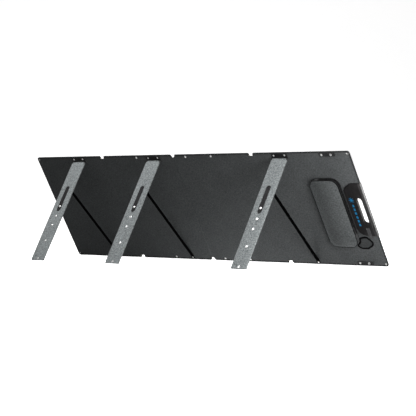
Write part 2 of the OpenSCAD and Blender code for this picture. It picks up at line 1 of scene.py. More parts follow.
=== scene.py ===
# A folding solar panel of four cloth-covered sections, propped up on three legs. Its back
# carries the legs, a zipped pouch, a cable flap and two closure tabs; the handle is at the
# high-x end. Shapes are drawn in the panel's own frame, in millimetres: x along the panel,
# y up it from the bottom edge, z out of its back from the back cloth.
import json
import math
from functools import cached_property, partial, reduce

import bmesh
import bpy
import numpy as np
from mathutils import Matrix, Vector


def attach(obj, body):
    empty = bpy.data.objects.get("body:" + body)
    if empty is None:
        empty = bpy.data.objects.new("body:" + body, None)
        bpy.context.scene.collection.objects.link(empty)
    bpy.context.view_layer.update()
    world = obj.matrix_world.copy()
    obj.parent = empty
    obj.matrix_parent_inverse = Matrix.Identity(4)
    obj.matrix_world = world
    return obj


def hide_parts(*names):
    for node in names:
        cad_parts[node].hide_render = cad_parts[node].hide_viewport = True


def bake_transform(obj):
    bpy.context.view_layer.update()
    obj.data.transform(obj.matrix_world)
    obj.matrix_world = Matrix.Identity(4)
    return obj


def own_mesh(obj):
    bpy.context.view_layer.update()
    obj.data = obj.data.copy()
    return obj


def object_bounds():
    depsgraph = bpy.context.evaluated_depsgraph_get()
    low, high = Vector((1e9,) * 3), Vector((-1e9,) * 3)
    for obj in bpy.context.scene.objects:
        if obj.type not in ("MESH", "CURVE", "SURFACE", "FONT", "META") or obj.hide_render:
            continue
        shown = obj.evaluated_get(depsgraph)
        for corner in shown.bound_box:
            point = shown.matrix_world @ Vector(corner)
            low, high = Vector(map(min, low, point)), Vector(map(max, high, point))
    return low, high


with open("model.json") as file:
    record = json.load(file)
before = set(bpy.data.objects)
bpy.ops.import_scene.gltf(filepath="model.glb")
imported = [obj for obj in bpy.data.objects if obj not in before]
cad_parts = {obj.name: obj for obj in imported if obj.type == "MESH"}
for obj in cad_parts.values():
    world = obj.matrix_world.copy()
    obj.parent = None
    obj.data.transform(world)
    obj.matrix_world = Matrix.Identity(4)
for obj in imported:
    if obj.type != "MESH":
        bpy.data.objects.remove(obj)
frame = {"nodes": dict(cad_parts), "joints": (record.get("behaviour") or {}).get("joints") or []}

CAD_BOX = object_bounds()
scene = bpy.context.scene
nodes = frame["nodes"]
joints = {joint["name"]: joint for joint in frame["joints"]}

# ------------------------------------------------------------------
# the panel's frame
# ------------------------------------------------------------------
ACROSS = Vector((1, 0, 0))
UP = Vector(joints["fold_3"]["axis"]).normalized()
OUT = Vector(joints["top_tab_swivel"]["axis"]).normalized()


def cad_points(node):
    """a CAD piece's vertices along the panel's axes, from the world origin"""
    world = np.array([v.co for v in nodes[node].data.vertices], float).reshape(-1, 3) * 1000
    return np.stack([world @ np.array(axis) for axis in (ACROSS, UP, OUT)], 1)


Y0 = cad_points("border_hem_2")[:, 1].min()
Z0 = cad_points("back_cover_2")[:, 2].max()


def local_points(node):
    return cad_points(node) - np.array([0, Y0, Z0])


def box(node):
    """lowest and highest (x, y, z) of a CAD piece"""
    points = local_points(node)
    return points.min(0).tolist(), points.max(0).tolist()


def mid_x(node):
    low, high = box(node)
    return (low[0] + high[0]) / 2


def panel(x, y, z):
    """world point, in metres, of panel coordinates"""
    return (ACROSS * x + UP * (y + Y0) + OUT * (z + Z0)) / 1000


def panel_coords(point):
    """panel coordinates of a world point in metres"""
    point = point * 1000
    return point.dot(ACROSS), point.dot(UP) - Y0, point.dot(OUT) - Z0


def joint_coords(name):
    return panel_coords(Vector(joints[name]["pos_m"]))


# outline of the panel, and its hem's height over the back and the front
X_MIN = box("border_hem_1")[0][0]
X_MAX = box("border_hem_4")[1][0]
HEIGHT, HEM_BACK = box("border_hem_2")[1][1:]
HEM_FRONT = box("border_hem_2")[0][2]
FRONT = HEM_FRONT + HEM_BACK        # z of the front face
CORNER = 12                         # radius of the panel's corners

# fold lines, with a slanted notch at both ends of each
FOLDS = [mid_x("fold_strip_1"), mid_x("fold_slat_2"), mid_x("fold_strip_3")]
NOTCH_DEPTH = box("fold_slat_2")[0][1]
NOTCH_HALF = 15.5                   # half width at the mouth
NOTCH_HALF_IN = 9.0                 # half width NOTCH_RISE further in
NOTCH_RISE = 12.0

# leg frame: x across, y along the leg from its hinge, z out of its outer face
LEG_X = [mid_x(f"leg_board_{n}") for n in (1, 2, 3)]
HINGE_Y, HINGE_Z = joint_coords("leg_1_swing")[1:]
OPEN = math.radians(joints["leg_1_swing"]["range_deg"][1])


def leg_point(k, x, y, z):
    """world point of leg k's coordinates, with the leg open"""
    return panel(LEG_X[k] + x,
                 HINGE_Y - y * math.cos(OPEN) + z * math.sin(OPEN),
                 HINGE_Z + y * math.sin(OPEN) + z * math.cos(OPEN))


ALONG_LEG = (leg_point(0, 0, 1, 0) - leg_point(0, 0, 0, 0)).normalized()


# ------------------------------------------------------------------
# materials
# ------------------------------------------------------------------
class Shader:
    """a new material and shorthands for the nodes of its tree"""

    def __init__(self, name):
        self.material = bpy.data.materials.new(name)
        self.material.use_nodes = True
        self.tree = self.material.node_tree
        self.bsdf = self.tree.nodes["Principled BSDF"]

    def put(self, socket, value):
        """links a socket, or sets its value; a colour may leave out its alpha"""
        if isinstance(value, (int, float)):
            socket.default_value = value
        elif isinstance(value, tuple):
            socket.default_value = (*value, 1)[:len(socket.default_value)]
        else:
            self.tree.links.new(value, socket)

    def node(self, kind, inputs={}, **settings):
        node = self.tree.nodes.new(kind)
        for key, value in settings.items():
            setattr(node, key, value)
        for socket, value in inputs.items():
            self.put(node.inputs[socket], value)
        return node

    def surface(self, **inputs):
        """sets the Principled inputs and gives back the material"""
        for key, value in inputs.items():
            self.put(self.bsdf.inputs[key.replace("_", " ")], value)
        return self.material

    @cached_property
    def coord(self):
        return self.node("ShaderNodeTexCoord").outputs["Object"]

    def along(self, axis):
        """millimetres along an axis"""
        inputs = {0: self.coord, 1: tuple(axis * 1000.0)}
        return self.node("ShaderNodeVectorMath", inputs, operation="DOT_PRODUCT").outputs["Value"]

    def math(self, operation, *values):
        return self.node("ShaderNodeMath", dict(enumerate(values)), operation=operation).outputs[0]

    def mul(self, *values):
        return reduce(partial(self.math, "MULTIPLY"), values)

    def add(self, *values):
        return reduce(partial(self.math, "ADD"), values)

    def xyz(self, x, y, z=0.0):
        return self.node("ShaderNodeCombineXYZ", {0: x, 1: y, 2: z}).outputs[0]

    def noise(self, vector, scale, detail=3.0, rough=0.5):
        inputs = {"Vector": vector, "Scale": scale, "Detail": detail, "Roughness": rough}
        return self.node("ShaderNodeTexNoise", inputs).outputs["Fac"]

    def noise_at(self, x, y, **noise):
        return self.noise(self.xyz(x, y), **noise)

    def streaks(self, x, y, squeeze, **noise):
        """noise with its own scale in x and in y"""
        return self.noise_at(self.mul(x, squeeze[0]), self.mul(y, squeeze[1]), scale=1.0, **noise)

    def remap(self, value, to, span=(0.3, 0.7), smooth=False):
        """stretches span to the range `to`; the usual span is that of the noise"""
        inputs = dict(enumerate((value, *span, *to)))
        kind = "SMOOTHSTEP" if smooth else "LINEAR"
        return self.node("ShaderNodeMapRange", inputs, interpolation_type=kind).outputs[0]

    def mix(self, factor, first, second, mode="MIX"):
        inputs = {0: factor, 6: first, 7: second}
        return self.node("ShaderNodeMix", inputs, data_type="RGBA", blend_type=mode).outputs[2]

    def tint(self, colour, factor):
        """colour times a grey factor"""
        return self.mix(1.0, colour, self.xyz(factor, factor, factor), "MULTIPLY")

    def bump(self, height, distance, strength=1.0, normal=None):
        inputs = {"Distance": distance, "Strength": strength, "Height": height}
        if normal is not None:
            inputs["Normal"] = normal
        return self.node("ShaderNodeBump", inputs).outputs[0]


def weave(net, x, y, pitch):
    """plain weave, height 0 to 1"""
    wave_x, wave_y = (net.math("SINE", net.mul(way, math.pi / pitch)) for way in (x, y))
    over = net.math("GREATER_THAN", net.mul(wave_x, wave_y), 0.0)
    return net.add(net.mul(net.math("ABSOLUTE", wave_x), over),
                   net.mul(net.math("ABSOLUTE", wave_y), net.math("SUBTRACT", 1.0, over)))


def lighter(colour, gain, lift):
    """the worn shade of a colour"""
    return tuple(min(1, channel * gain + lift) for channel in colour)


def fabric(name, colour, y_axis=UP, pitch=0.9, melange=0.2, rough=0.82, sheen=0.1,
           depth=0.00022, specular=0.12, mottle=0.0, painted_light_ramp=None, wear=0.0):
    """woven cloth: pitch of the yarns in mm, melange and mottle are fine and coarse colour
    variation, the brightness ramp along x is painted light and shade, depth is the relief in
    metres"""
    net = Shader(name)
    x, y = net.along(ACROSS), net.along(y_axis)
    yarns = weave(net, x, y, pitch)
    # slubs: long thin yarn variations both ways
    slubs = net.add(
        net.mul(net.streaks(x, y, squeeze=(0.045, 0.42), detail=4.0, rough=0.62), 0.6),
        net.mul(net.streaks(x, y, squeeze=(0.42, 0.05), detail=4.0, rough=0.62), 0.4))
    shades = [net.remap(slubs, span=(0.32, 0.68), to=(1.0 - melange, 1.0 + melange)),
              net.remap(net.noise_at(x, y, scale=0.012), to=(0.93, 1.07)),
              net.remap(yarns, span=(0.0, 1.0), to=(0.72, 1.12))]
    if mottle:
        # heather flecks a few millimetres long, in both yarn directions
        flecks_y = net.streaks(x, y, squeeze=(0.10, 0.20), detail=2.0, rough=0.55)
        flecks_x = net.noise_at(net.mul(x, 0.26), net.math("MULTIPLY_ADD", y, 0.08, 41.0),
                                scale=1.0, detail=2.0, rough=0.55)
        flecks = net.add(net.mul(flecks_y, 0.5), net.mul(flecks_x, 0.5))
        shades.append(net.remap(flecks, span=(0.35, 0.65), to=(1.0 - mottle, 1.0 + mottle)))
    # painted light and shade: a brightness ramp along x
    if painted_light_ramp:
        shades.append(net.remap(net.along(ACROSS), smooth=True, **painted_light_ramp))
    base = net.tint(colour, net.mul(*shades))
    if wear:
        patches = net.noise_at(x, y, scale=0.05, detail=5.0, rough=0.65)
        base = net.mix(net.remap(patches, span=(0.58, 0.75), to=(0.0, wear)), base,
                       lighter(colour, gain=2.2, lift=0.02))
    normal = net.bump(net.add(net.mul(yarns, 0.8), net.mul(slubs, 0.5)), distance=depth)
    normal = net.bump(net.noise_at(x, y, scale=0.02, detail=2.0),
                      distance=0.0012, strength=0.6, normal=normal)
    return net.surface(Base_Color=base, Normal=normal,
                       Roughness=net.remap(slubs, to=(rough - 0.06, rough + 0.08)),
                       Specular_IOR_Level=specular, Sheen_Weight=sheen,
                       Sheen_Roughness=0.45, Sheen_Tint=(0.85, 0.93, 0.95))


def webbing(name, colour, x_axis=ACROSS, y_axis=UP, pitch=2.0, depth=0.0004, specular=0.15):
    """narrow webbing: herringbone ribs across its length, which runs along y_axis"""
    net = Shader(name)
    x, y = net.along(x_axis), net.along(y_axis)
    zigzag = net.mul(net.math("PINGPONG", x, 3.2), 0.8)
    ribs = net.math("SINE", net.mul(net.add(y, zigzag), 2 * math.pi / pitch))
    ribs = net.math("MULTIPLY_ADD", ribs, 0.5, 0.5)
    fibres = net.streaks(x, y, squeeze=(0.8, 0.1))
    shade = net.mul(net.remap(ribs, span=(0, 1), to=(0.65, 1.25)),
                    net.remap(fibres, to=(0.75, 1.3)))
    return net.surface(Base_Color=net.tint(colour, shade), Normal=net.bump(ribs, distance=depth),
                       Roughness=net.remap(fibres, to=(0.55, 0.75)), Specular_IOR_Level=specular)


def plastic(name, colour, rough=0.5, grain=550.0, depth=0.00006, wear=0.35, specular=0.2,
            shine=None):
    """grained moulding with scuffed edges; shine gives a mask of shinier places"""
    net = Shader(name)
    fine = net.noise(net.coord, scale=grain, detail=2.0, rough=0.6)
    broad = net.noise(net.coord, scale=22.0, detail=4.0, rough=0.6)
    edge = net.remap(net.node("ShaderNodeNewGeometry").outputs["Pointiness"],
                     span=(0.52, 0.6), to=(0.0, 1.0))
    scuff = net.mul(edge, net.remap(broad, span=(0.4, 0.65), to=(0.0, wear)))
    base = net.mix(scuff, net.tint(colour, net.remap(broad, to=(0.88, 1.12))),
                   lighter(colour, gain=3, lift=0.03))
    net.surface(Base_Color=base, Normal=net.bump(fine, distance=depth),
                Roughness=net.remap(broad, to=(rough - 0.06, rough + 0.1)),
                Specular_IOR_Level=specular)
    if shine:
        extra = 0.42    # specular added where the mask is full
        net.surface(Specular_IOR_Level=net.math("MULTIPLY_ADD", shine(net), extra, specular))
    return net.material


def metal(name, colour, rough=0.38, painted_shade=None):
    net = Shader(name)
    broad = net.noise(net.coord, scale=180.0, detail=4.0, rough=0.6)
    fine = net.noise(net.coord, scale=2500.0, detail=2.0)
    shade = net.remap(broad, to=(0.82, 1.08))
    # painted shade: the colour is darkened by place
    if painted_shade:
        shade = net.mul(shade, painted_shade(net))
    return net.surface(Base_Color=net.tint(colour, shade), Metallic=0.85,
                       Roughness=net.remap(broad, to=(rough - 0.06, rough + 0.12)),
                       Normal=net.bump(fine, distance=0.00002))


def end_wall(net):
    """mask of the back part of the handle's wall at the high-x end"""
    return net.mul(net.remap(net.along(ACROSS), span=(998.8, 999.4), to=(0.0, 1.0)),
                   net.remap(net.along(OUT), span=(Z0 - 4.0, Z0 - 2.5), to=(0.0, 1.0)))


def end_painted_shade(net):
    """painted shade: darker metal beyond 980 mm either way and round x = 906 mm"""
    near_906 = net.math("ABSOLUTE", net.math("SUBTRACT", net.along(ACROSS), 906.0))
    return net.mul(net.remap(net.math("ABSOLUTE", net.along(ACROSS)),
                             span=(975.0, 985.0), to=(1.0, 0.5)),
                   net.remap(near_906, span=(14.0, 22.0), to=(0.7, 1.0)))


def board_material():
    """woven glass fibre"""
    net = Shader("glass_fibre_board")
    x, y = net.along(ACROSS), net.along(UP)
    yarns = weave(net, x, y, pitch=2.2)
    patches = net.noise_at(x, y, scale=0.03, detail=4.0)
    base = net.mix(net.remap(yarns, span=(0, 1), to=(0, 1)),
                   (0.50, 0.46, 0.30), (0.62, 0.60, 0.44))
    return net.surface(Base_Color=net.tint(base, net.remap(patches, to=(0.85, 1.1))),
                       Roughness=0.45, Normal=net.bump(yarns, distance=0.00005))


def cell_material():
    """dark blue silicon with fine contact lines every 1.6 mm"""
    net = Shader("silicon_cell")
    x, y = net.along(ACROSS), net.along(UP)
    line = net.math("LESS_THAN", net.math("PINGPONG", y, 0.8), 0.10)
    patches = net.noise_at(x, y, scale=0.02, detail=4.0, rough=0.6)
    blue = net.mix(net.remap(patches, to=(0, 1)), (0.006, 0.008, 0.020), (0.010, 0.014, 0.036))
    return net.surface(Base_Color=net.mix(net.mul(line, 0.35), blue, (0.20, 0.21, 0.23)),
                       Roughness=0.28, Normal=net.bump(line, distance=0.00002),
                       Specular_IOR_Level=0.6)


def film_material():
    """clear dimpled film: see-through, with a soft gloss"""
    net = Shader("clear_film")
    x, y = net.along(ACROSS), net.along(UP)
    normal = net.bump(weave(net, x, y, pitch=1.6), distance=0.00003)
    normal = net.bump(net.noise_at(x, y, scale=0.01, detail=2.0),
                      distance=0.002, strength=0.5, normal=normal)
    clear = net.node("ShaderNodeBsdfTransparent", {"Color": (0.93, 0.95, 0.97)})
    gloss = net.node("ShaderNodeBsdfGlossy", {"Roughness": 0.34, "Normal": normal})
    fresnel = net.node("ShaderNodeFresnel", {"IOR": 1.38}).outputs[0]
    share = net.add(net.mul(fresnel, 0.9), 0.015)
    mixed = net.node("ShaderNodeMixShader", {0: share, 1: clear.outputs[0], 2: gloss.outputs[0]})
    net.put(net.tree.nodes["Material Output"].inputs[0], mixed.outputs[0])
    return net.material


# painted shade and light: the back cloth runs a little darker towards low x and lighter towards
# high x
BACK_CLOTH = fabric("cloth_back_charcoal", (0.046, 0.0485, 0.0495), pitch=1.5, melange=0.22,
                    rough=0.86, mottle=0.34, painted_light_ramp=dict(span=(-900.0, 950.0), to=(0.94, 1.06)))
# painted light and shade: the lid cloth gets lighter towards high x and darker towards low x
LID_SPAN = tuple(corner[0] for corner in box("pouch_lid"))
LID_CLOTH = fabric("cloth_lid_charcoal", (0.036, 0.0385, 0.039), pitch=1.5, melange=0.22,
                   sheen=0.14, mottle=0.42, painted_light_ramp=dict(span=LID_SPAN, to=(0.62, 1.58)))
FLAP_CLOTH = fabric("cloth_flap_grey", (0.022, 0.0235, 0.024), pitch=1.3, sheen=0.08,
                    mottle=0.25)
FRONT_CLOTH = fabric("cloth_front_black", (0.016, 0.016, 0.017), pitch=1.2, rough=0.8,
                     specular=0.15)
HEM_CLOTH = fabric("cloth_hem_black", (0.017, 0.0175, 0.018), rough=0.78, sheen=0.06,
                   depth=0.0001, wear=0.2)
LEG_CLOTH = fabric("cloth_leg_heather", (0.158, 0.171, 0.1735), y_axis=ALONG_LEG, pitch=1.1,
                   melange=0.24, rough=0.85, sheen=0.0, depth=0.00014, specular=0.15,
                   mottle=0.55)
GUSSET_CLOTH = fabric("cloth_gusset", (0.036, 0.036, 0.037), rough=0.75, sheen=0.05,
                      depth=0.0001)
LINING = fabric("cloth_lining", (0.03, 0.03, 0.032), pitch=0.8, melange=0.15, rough=0.9,
                depth=0.0001, specular=0.25)
PIPING = fabric("piping_black", (0.0022, 0.0022, 0.0024), rough=0.85, sheen=0.0,
                depth=0.00006, specular=0.03)
ZIP_TAPE = webbing("zip_tape_black", (0.0035, 0.0035, 0.0036), pitch=1.1, depth=0.00012,
                   specular=0.1)
THREAD = Shader("thread_grey").surface(Base_Color=(0.030, 0.030, 0.032), Roughness=0.6)
LEG_THREAD = Shader("thread_light").surface(Base_Color=(0.17, 0.18, 0.18), Roughness=0.6)
PROP_WEB = webbing("webbing_flat", (0.0016, 0.0016, 0.0017), specular=0.0)
TONGUE_WEB = webbing("webbing_tongue", (0.010, 0.0097, 0.0105), y_axis=ALONG_LEG, specular=0.2)
TAB_WEB = webbing("webbing_tab", (0.014, 0.0145, 0.015), x_axis=UP, y_axis=ACROSS)
KEEPER_WEB = webbing("webbing_keeper", (0.034, 0.034, 0.035))
PLASTIC = plastic("plastic_black", (0.0075, 0.007, 0.0072), rough=0.42, specular=0.10,
                  shine=end_wall)
PLATE = plastic("plastic_plate", (0.006, 0.006, 0.0062))
NICKEL = metal("nickel", (0.88, 0.88, 0.87), rough=0.30)
# painted shade: a darker copy of the nickel for the closure snaps
SNAP_NICKEL = metal("nickel_dark", (0.46, 0.46, 0.46))
# painted shade: the corner eyelets and the metal round x = 906 mm are darkened in colour
SHADED_NICKEL = metal("nickel_painted_shade", (0.93, 0.93, 0.92), painted_shade=end_painted_shade)
BLACK_NICKEL = metal("black_nickel", (0.10, 0.10, 0.10), rough=0.35)
RUBBER = plastic("rubber_cable", (0.010, 0.010, 0.010), rough=0.6, grain=300.0,
                 depth=0.00003, wear=0.1)
BLUE_PRINT = plastic("print_blue", (0.003, 0.085, 0.185), grain=500.0, depth=0.00003,
                     wear=0.1, specular=0.15)
BOARD = board_material()
CELL = cell_material()
FILM = film_material()


# ------------------------------------------------------------------
# mesh helpers; a shape is (vertices, faces) or (vertices, faces, material indices)
# ------------------------------------------------------------------
def make(name, shape, materials, body=None, replaces=None, sharp=40, recalc=True):
    """turns a shape into a smooth object, with edges over `sharp` degrees kept sharp"""
    verts, faces, *indices = shape
    mesh = bpy.data.meshes.new(name)
    mesh.from_pydata([tuple(vert) for vert in verts], [], faces)
    for material in materials if isinstance(materials, list) else [materials]:
        mesh.materials.append(material)
    if indices:
        mesh.polygons.foreach_set("material_index", indices[0])
    bm = bmesh.new()
    bm.from_mesh(mesh)
    bmesh.ops.remove_doubles(bm, verts=bm.verts, dist=1e-7)
    if recalc:
        bmesh.ops.recalc_face_normals(bm, faces=bm.faces)
    for face in bm.faces:
        face.smooth = True
    for edge in bm.edges:
        if len(edge.link_faces) == 2 and edge.calc_face_angle(0.0) > math.radians(sharp):
            edge.smooth = False
    bm.to_mesh(mesh)
    bm.free()
    obj = bpy.data.objects.new(name, mesh)
    scene.collection.objects.link(obj)
    if body:
        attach(obj, body)
    if replaces:
        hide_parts(replaces)
    return obj


def join(parts):
    """several (vertices, faces) as one"""
    verts, faces = [], []
    for part_verts, part_faces in parts:
        start = len(verts)
        verts += part_verts
        faces += [tuple(i + start for i in face) for face in part_faces]
    return verts, faces


def spread(start, stop, count):
    """count even steps from start, without stop itself"""
    return [start + (stop - start) * k / count for k in range(count)]


def stations(start, stop, step, must=()):
    """values about a step apart that include the ones in must"""
    marks = sorted({start, stop, *(mark for mark in must if start < mark < stop)})
    values = []
    for low, high in zip(marks, marks[1:]):
        values += spread(low, high, max(1, round((high - low) / step)))
    return values + [stop]


def arc(x, y, radius, start, stop, steps):
    """points on an arc between two angles in degrees"""
    angles = [math.radians(start + (stop - start) * k / steps) for k in range(steps + 1)]
    return [(x + radius * math.cos(angle), y + radius * math.sin(angle)) for angle in angles]


def ellipse(x, y, half_x, half_y, count):
    angles = [2 * math.pi * k / count for k in range(count)]
    return [(x + half_x * math.cos(angle), y + half_y * math.sin(angle)) for angle in angles]


def ring_faces(rows, cols, closed=False):
    """quads between rings of cols vertices; closed joins the last ring to the first"""
    faces = []
    for row in range(rows if closed else rows - 1):
        here, after = row * cols, (row + 1) % rows * cols
        for col in range(cols):
            col_2 = (col + 1) % cols
            faces.append((here + col, here + col_2, after + col_2, after + col))
    return faces


def tube_faces(rows, cols, flip=False):
    """rings with a cap at both ends"""
    first = tuple(range(cols))
    last = tuple((rows - 1) * cols + i for i in first)
    caps = [first, last[::-1]] if flip else [first[::-1], last]
    return ring_faces(rows, cols) + caps


def sweep(path, profile, closed=False, place=panel):
    """sweeps a profile of (distance to the path's left, z) along a path of (x, y)"""
    count = len(path)
    verts = []
    for i, point in enumerate(path):
        into = i if closed else max(i, 1)
        away = i if closed else min(i, count - 2)
        before = (Vector(path[into]) - Vector(path[into - 1])).normalized()
        after = (Vector(path[(away + 1) % count]) - Vector(path[away])).normalized()
        mitre = Vector((-before.y, before.x)) + Vector((-after.y, after.x))
        mitre = mitre / max(mitre.length_squared / 2, 0.3)
        for distance, z in profile:
            corner = Vector(point) + mitre * distance
            verts.append(place(corner.x, corner.y, z))
    cols = len(profile)
    return verts, ring_faces(count, cols, True) if closed else tube_faces(count, cols)


def filled_sweep(outline, profile, place=panel):
    """a closed sweep with faces over its middle in place of the profile's last wall"""
    verts, faces = sweep(outline, profile, closed=True, place=place)
    cols = len(profile)
    rims = (cols - 2, cols - 1)
    faces = [face for face in faces if not all(i % cols in rims for i in face)]
    first, second = (tuple(i * cols + rim for i in range(len(outline))) for rim in rims)
    return verts, faces + [first, second[::-1]]


def rounded_box(x_span, y_span, z_span, radius, place=panel, seg=3):
    """box with rounded edges all round, as stacked rounded outlines"""
    (x0, x1), (y0, y1), (z0, z1) = x_span, y_span, z_span
    corners = ((x1 - radius, y0 + radius, -90), (x1 - radius, y1 - radius, 0),
               (x0 + radius, y1 - radius, 90), (x0 + radius, y0 + radius, 180))
    tilts = [math.pi / 2 * k / seg for k in range(seg + 1)]
    levels = [(math.pi / 2 * (1 - k / seg), z0 + radius, -1) for k in range(seg + 1)]
    levels += [(tilt, z1 - radius, 1) for tilt in tilts]
    verts = []
    for tilt, z, side in levels:
        reach = radius - (radius - radius * math.cos(tilt))
        for corner_x, corner_y, start in corners:
            for x, y in arc(corner_x, corner_y, reach, start, start + 90, seg):
                verts.append(place(x, y, z + side * radius * math.sin(tilt)))
    return verts, tube_faces(len(levels), 4 * (seg + 1))


def lathe(profile, centre, seg):
    """revolves (radius, z) round the panel's z through a world point"""
    side = OUT.orthogonal().normalized()
    other = OUT.cross(side)
    verts = []
    for radius, z in profile:
        for k in range(seg):
            angle = 2 * math.pi * k / seg
            ring = side * math.cos(angle) * radius + other * math.sin(angle) * radius
            verts.append(centre + (ring + OUT * z) / 1000)
    return verts, tube_faces(len(profile), seg)


def grid(xs, ys, z_at, keep=None, shift=None, material_at=None):
    """quads over stations xs and ys; keep(x, y) picks cells, shift(x, y) moves vertices"""
    index, verts, faces, materials = {}, [], [], []

    def vertex(i, j):
        if (i, j) not in index:
            x, y = shift(xs[i], ys[j]) if shift else (xs[i], ys[j])
            index[(i, j)] = len(verts)
            verts.append(panel(x, y, z_at(x, y)))
        return index[(i, j)]

    for i in range(len(xs) - 1):
        for j in range(len(ys) - 1):
            x, y = (xs[i] + xs[i + 1]) / 2, (ys[j] + ys[j + 1]) / 2
            if keep and not keep(x, y):
                continue
            faces.append((vertex(i, j), vertex(i + 1, j),
                          vertex(i + 1, j + 1), vertex(i, j + 1)))
            materials.append(material_at(x, y) if material_at else 0)
    return verts, faces, materials


def shell(outer, inner, faces, outer_materials, inner_materials):
    """an open sheet and its inner copy, with walls along the free edges"""
    count = len(outer)
    edges = {}
    for face, material in zip(faces, inner_materials):
        for a, b in zip(face, face[1:] + face[:1]):
            edges.setdefault((min(a, b), max(a, b)), []).append((a, b, material))
    walls = [uses[0] for uses in edges.values() if len(uses) == 1]
    all_faces = [*faces, *(tuple(i + count for i in face[::-1]) for face in faces),
                 *((b, a, a + count, b + count) for a, b, _ in walls)]
    materials = [*outer_materials, *inner_materials, *(material for *_, material in walls)]
    return [*outer, *inner], all_faces, materials


def thicken(sheet, thickness):
    """gives an open sheet a thickness towards -z"""
    verts, faces, materials = sheet
    inner = [vert - OUT * (thickness / 1000) for vert in verts]
    return shell(verts, inner, faces, materials, materials)


# a stitch: (place along its length, height factor; 0 is just under the cloth)
STITCH_ROWS = [(-0.5, 0), (-0.28, 1), (0.28, 1), (0.5, 0)]
STITCH_FACES = [(0, 1, 3, 2), (2, 3, 5, 4), (4, 5, 7, 6), (0, 6, 7, 1), (0, 2, 4, 6), (1, 7, 5, 3)]


def stitches(path, z, pitch=4.2, length=2.9, width=0.5, height=0.28, closed=False, place=panel):
    """short raised threads along a path of (x, y)"""
    verts, faces = [], []
    points = [Vector(point) for point in path] + ([Vector(path[0])] if closed else [])
    for start, stop in zip(points, points[1:]):
        run = (stop - start).length
        count = int(run // pitch)
        if count < 1:
            continue
        ahead = (stop - start) / run
        side = Vector((-ahead.y, ahead.x))
        for k in range(count):
            middle = start + ahead * (run * (k + 0.5) / count)
            faces += [tuple(i + len(verts) for i in face) for face in STITCH_FACES]
            for share, raised in STITCH_ROWS:
                rise = height if raised else -0.05
                for half in (-0.5, 0.5):
                    corner = middle + ahead * (share * length) + side * (half * width)
                    verts.append(place(corner.x, corner.y, z + rise))
    return verts, faces


def left_normal(path, k):
    before, after = Vector(path[max(k - 1, 0)]), Vector(path[min(k + 1, len(path) - 1)])
    ahead = (after - before).normalized()
    return Vector((-ahead.y, ahead.x))


def ribbon(path, section):
    """sweeps a section of (x, distance to the path's left) along a path of (y, z)"""
    verts = []
    for k, (y, z) in enumerate(path):
        normal = left_normal(path, k)
        verts += [panel(x, y + normal.x * rise, z + normal.y * rise) for x, rise in section]
    return verts, tube_faces(len(path), len(section), flip=True)


def finish_cad(node, material, bevel=0.0, seg=2):
    """keeps a CAD piece, with a material and, where given, bevelled edges (mm)"""
    obj = nodes[node]
    obj.data.materials.clear()
    obj.data.materials.append(material)
    for face in obj.data.polygons:
        face.use_smooth = True
    if bevel:
        weld = obj.modifiers.new("weld", "WELD")
        weld.merge_threshold = 2e-6
        flat = obj.modifiers.new("flat", "DECIMATE")
        flat.decimate_type = "DISSOLVE"
        flat.angle_limit = math.radians(1.0)
        edge = obj.modifiers.new("edge", "BEVEL")
        edge.width = bevel / 1000
        edge.segments = seg
        edge.limit_method = "ANGLE"
        edge.angle_limit = math.radians(35)
        edge.harden_normals = False
        edge.use_clamp_overlap = True


def ease(value):
    value = min(max(value, 0.0), 1.0)
    return value * value * (3 - 2 * value)


# ------------------------------------------------------------------
# sections
# ------------------------------------------------------------------
HANDLE_LOW, HANDLE_HIGH = box("handle_back")
CLOTH_INSET = 4.5                  # cloth edge in from the panel's edge, under the hem
NOTCH_INSET = 3.0                  # the same along the notches
NOTCH_ZONE = 60                    # rows nearer the edge than this bend round the notches
CUT_X = 943.0                      # cut in the cloth at the handle: x beyond this,
CUT_Y = (205.0, 380.0)             # y between these
EYES = [(x, y) for x in (X_MIN + CORNER, X_MAX - CORNER) for y in (CORNER, HEIGHT - CORNER)]
EYE_HALF = 3.7                     # half side of the square holes in the corners
WALL_Y = 13                        # fold-side wall of the hem starts here
HEM_WIDTH = 6.2
HEM_STITCH_INSET = 4.4
# hem section: (in from the edge, z), over the back, round the edge and over the front
HEM_PROFILE = [
    (HEM_WIDTH, 0.0), (HEM_WIDTH - 0.15, HEM_BACK * 0.6), (HEM_WIDTH - 0.8, HEM_BACK * 0.95),
    (HEM_WIDTH - 2.6, HEM_BACK), (1.6, HEM_BACK), (0.7, HEM_BACK * 0.8), (0.2, HEM_BACK * 0.2),
    (0.0, -0.8), (0.0, FRONT + 0.8),
    (0.2, FRONT - HEM_BACK * 0.2), (0.7, HEM_FRONT + HEM_BACK * 0.2), (1.6, HEM_FRONT),
    (HEM_WIDTH - 2.6, HEM_FRONT), (HEM_WIDTH - 0.8, HEM_FRONT + HEM_BACK * 0.05),
    (HEM_WIDTH - 0.15, HEM_FRONT + HEM_BACK * 0.4), (HEM_WIDTH, FRONT),
    (1.0, FRONT), (1.0, 0.0)]


class Section:
    def __init__(self, n):
        low, high = box(f"border_hem_{n}")
        self.n = n
        self.body = f"section_{n}"
        self.x0, self.x1 = low[0], high[0]
        self.first, self.last = n == 1, n == 4
        self.cloth_x = (self.x0 + (CLOTH_INSET if self.first else 0),
                        self.x1 - (CLOTH_INSET if self.last else 0))
        self.eyes = [eye for eye in EYES if self.x0 < eye[0] < self.x1]

    def keep(self, x, y):
        """whether the cloth is there, clear of the cut at the handle and the corner holes"""
        if self.last and x > CUT_X and CUT_Y[0] < y < CUT_Y[1]:
            return False
        return not any(abs(x - eye_x) < EYE_HALF and abs(y - eye_y) < EYE_HALF
                       for eye_x, eye_y in self.eyes)

    def stations(self, step, more_x=(), more_y=()):
        """cloth stations in x and y that meet every opening"""
        must_x, must_y = ([eye[way] + side for eye in self.eyes for side in (-EYE_HALF, EYE_HALF)]
                          for way in (0, 1))
        if self.last:
            must_x.append(CUT_X)
            must_y += CUT_Y
        return (stations(*self.cloth_x, step, [*must_x, *more_x]),
                stations(CLOTH_INSET, HEIGHT - CLOTH_INSET, step, [*must_y, *more_y]))


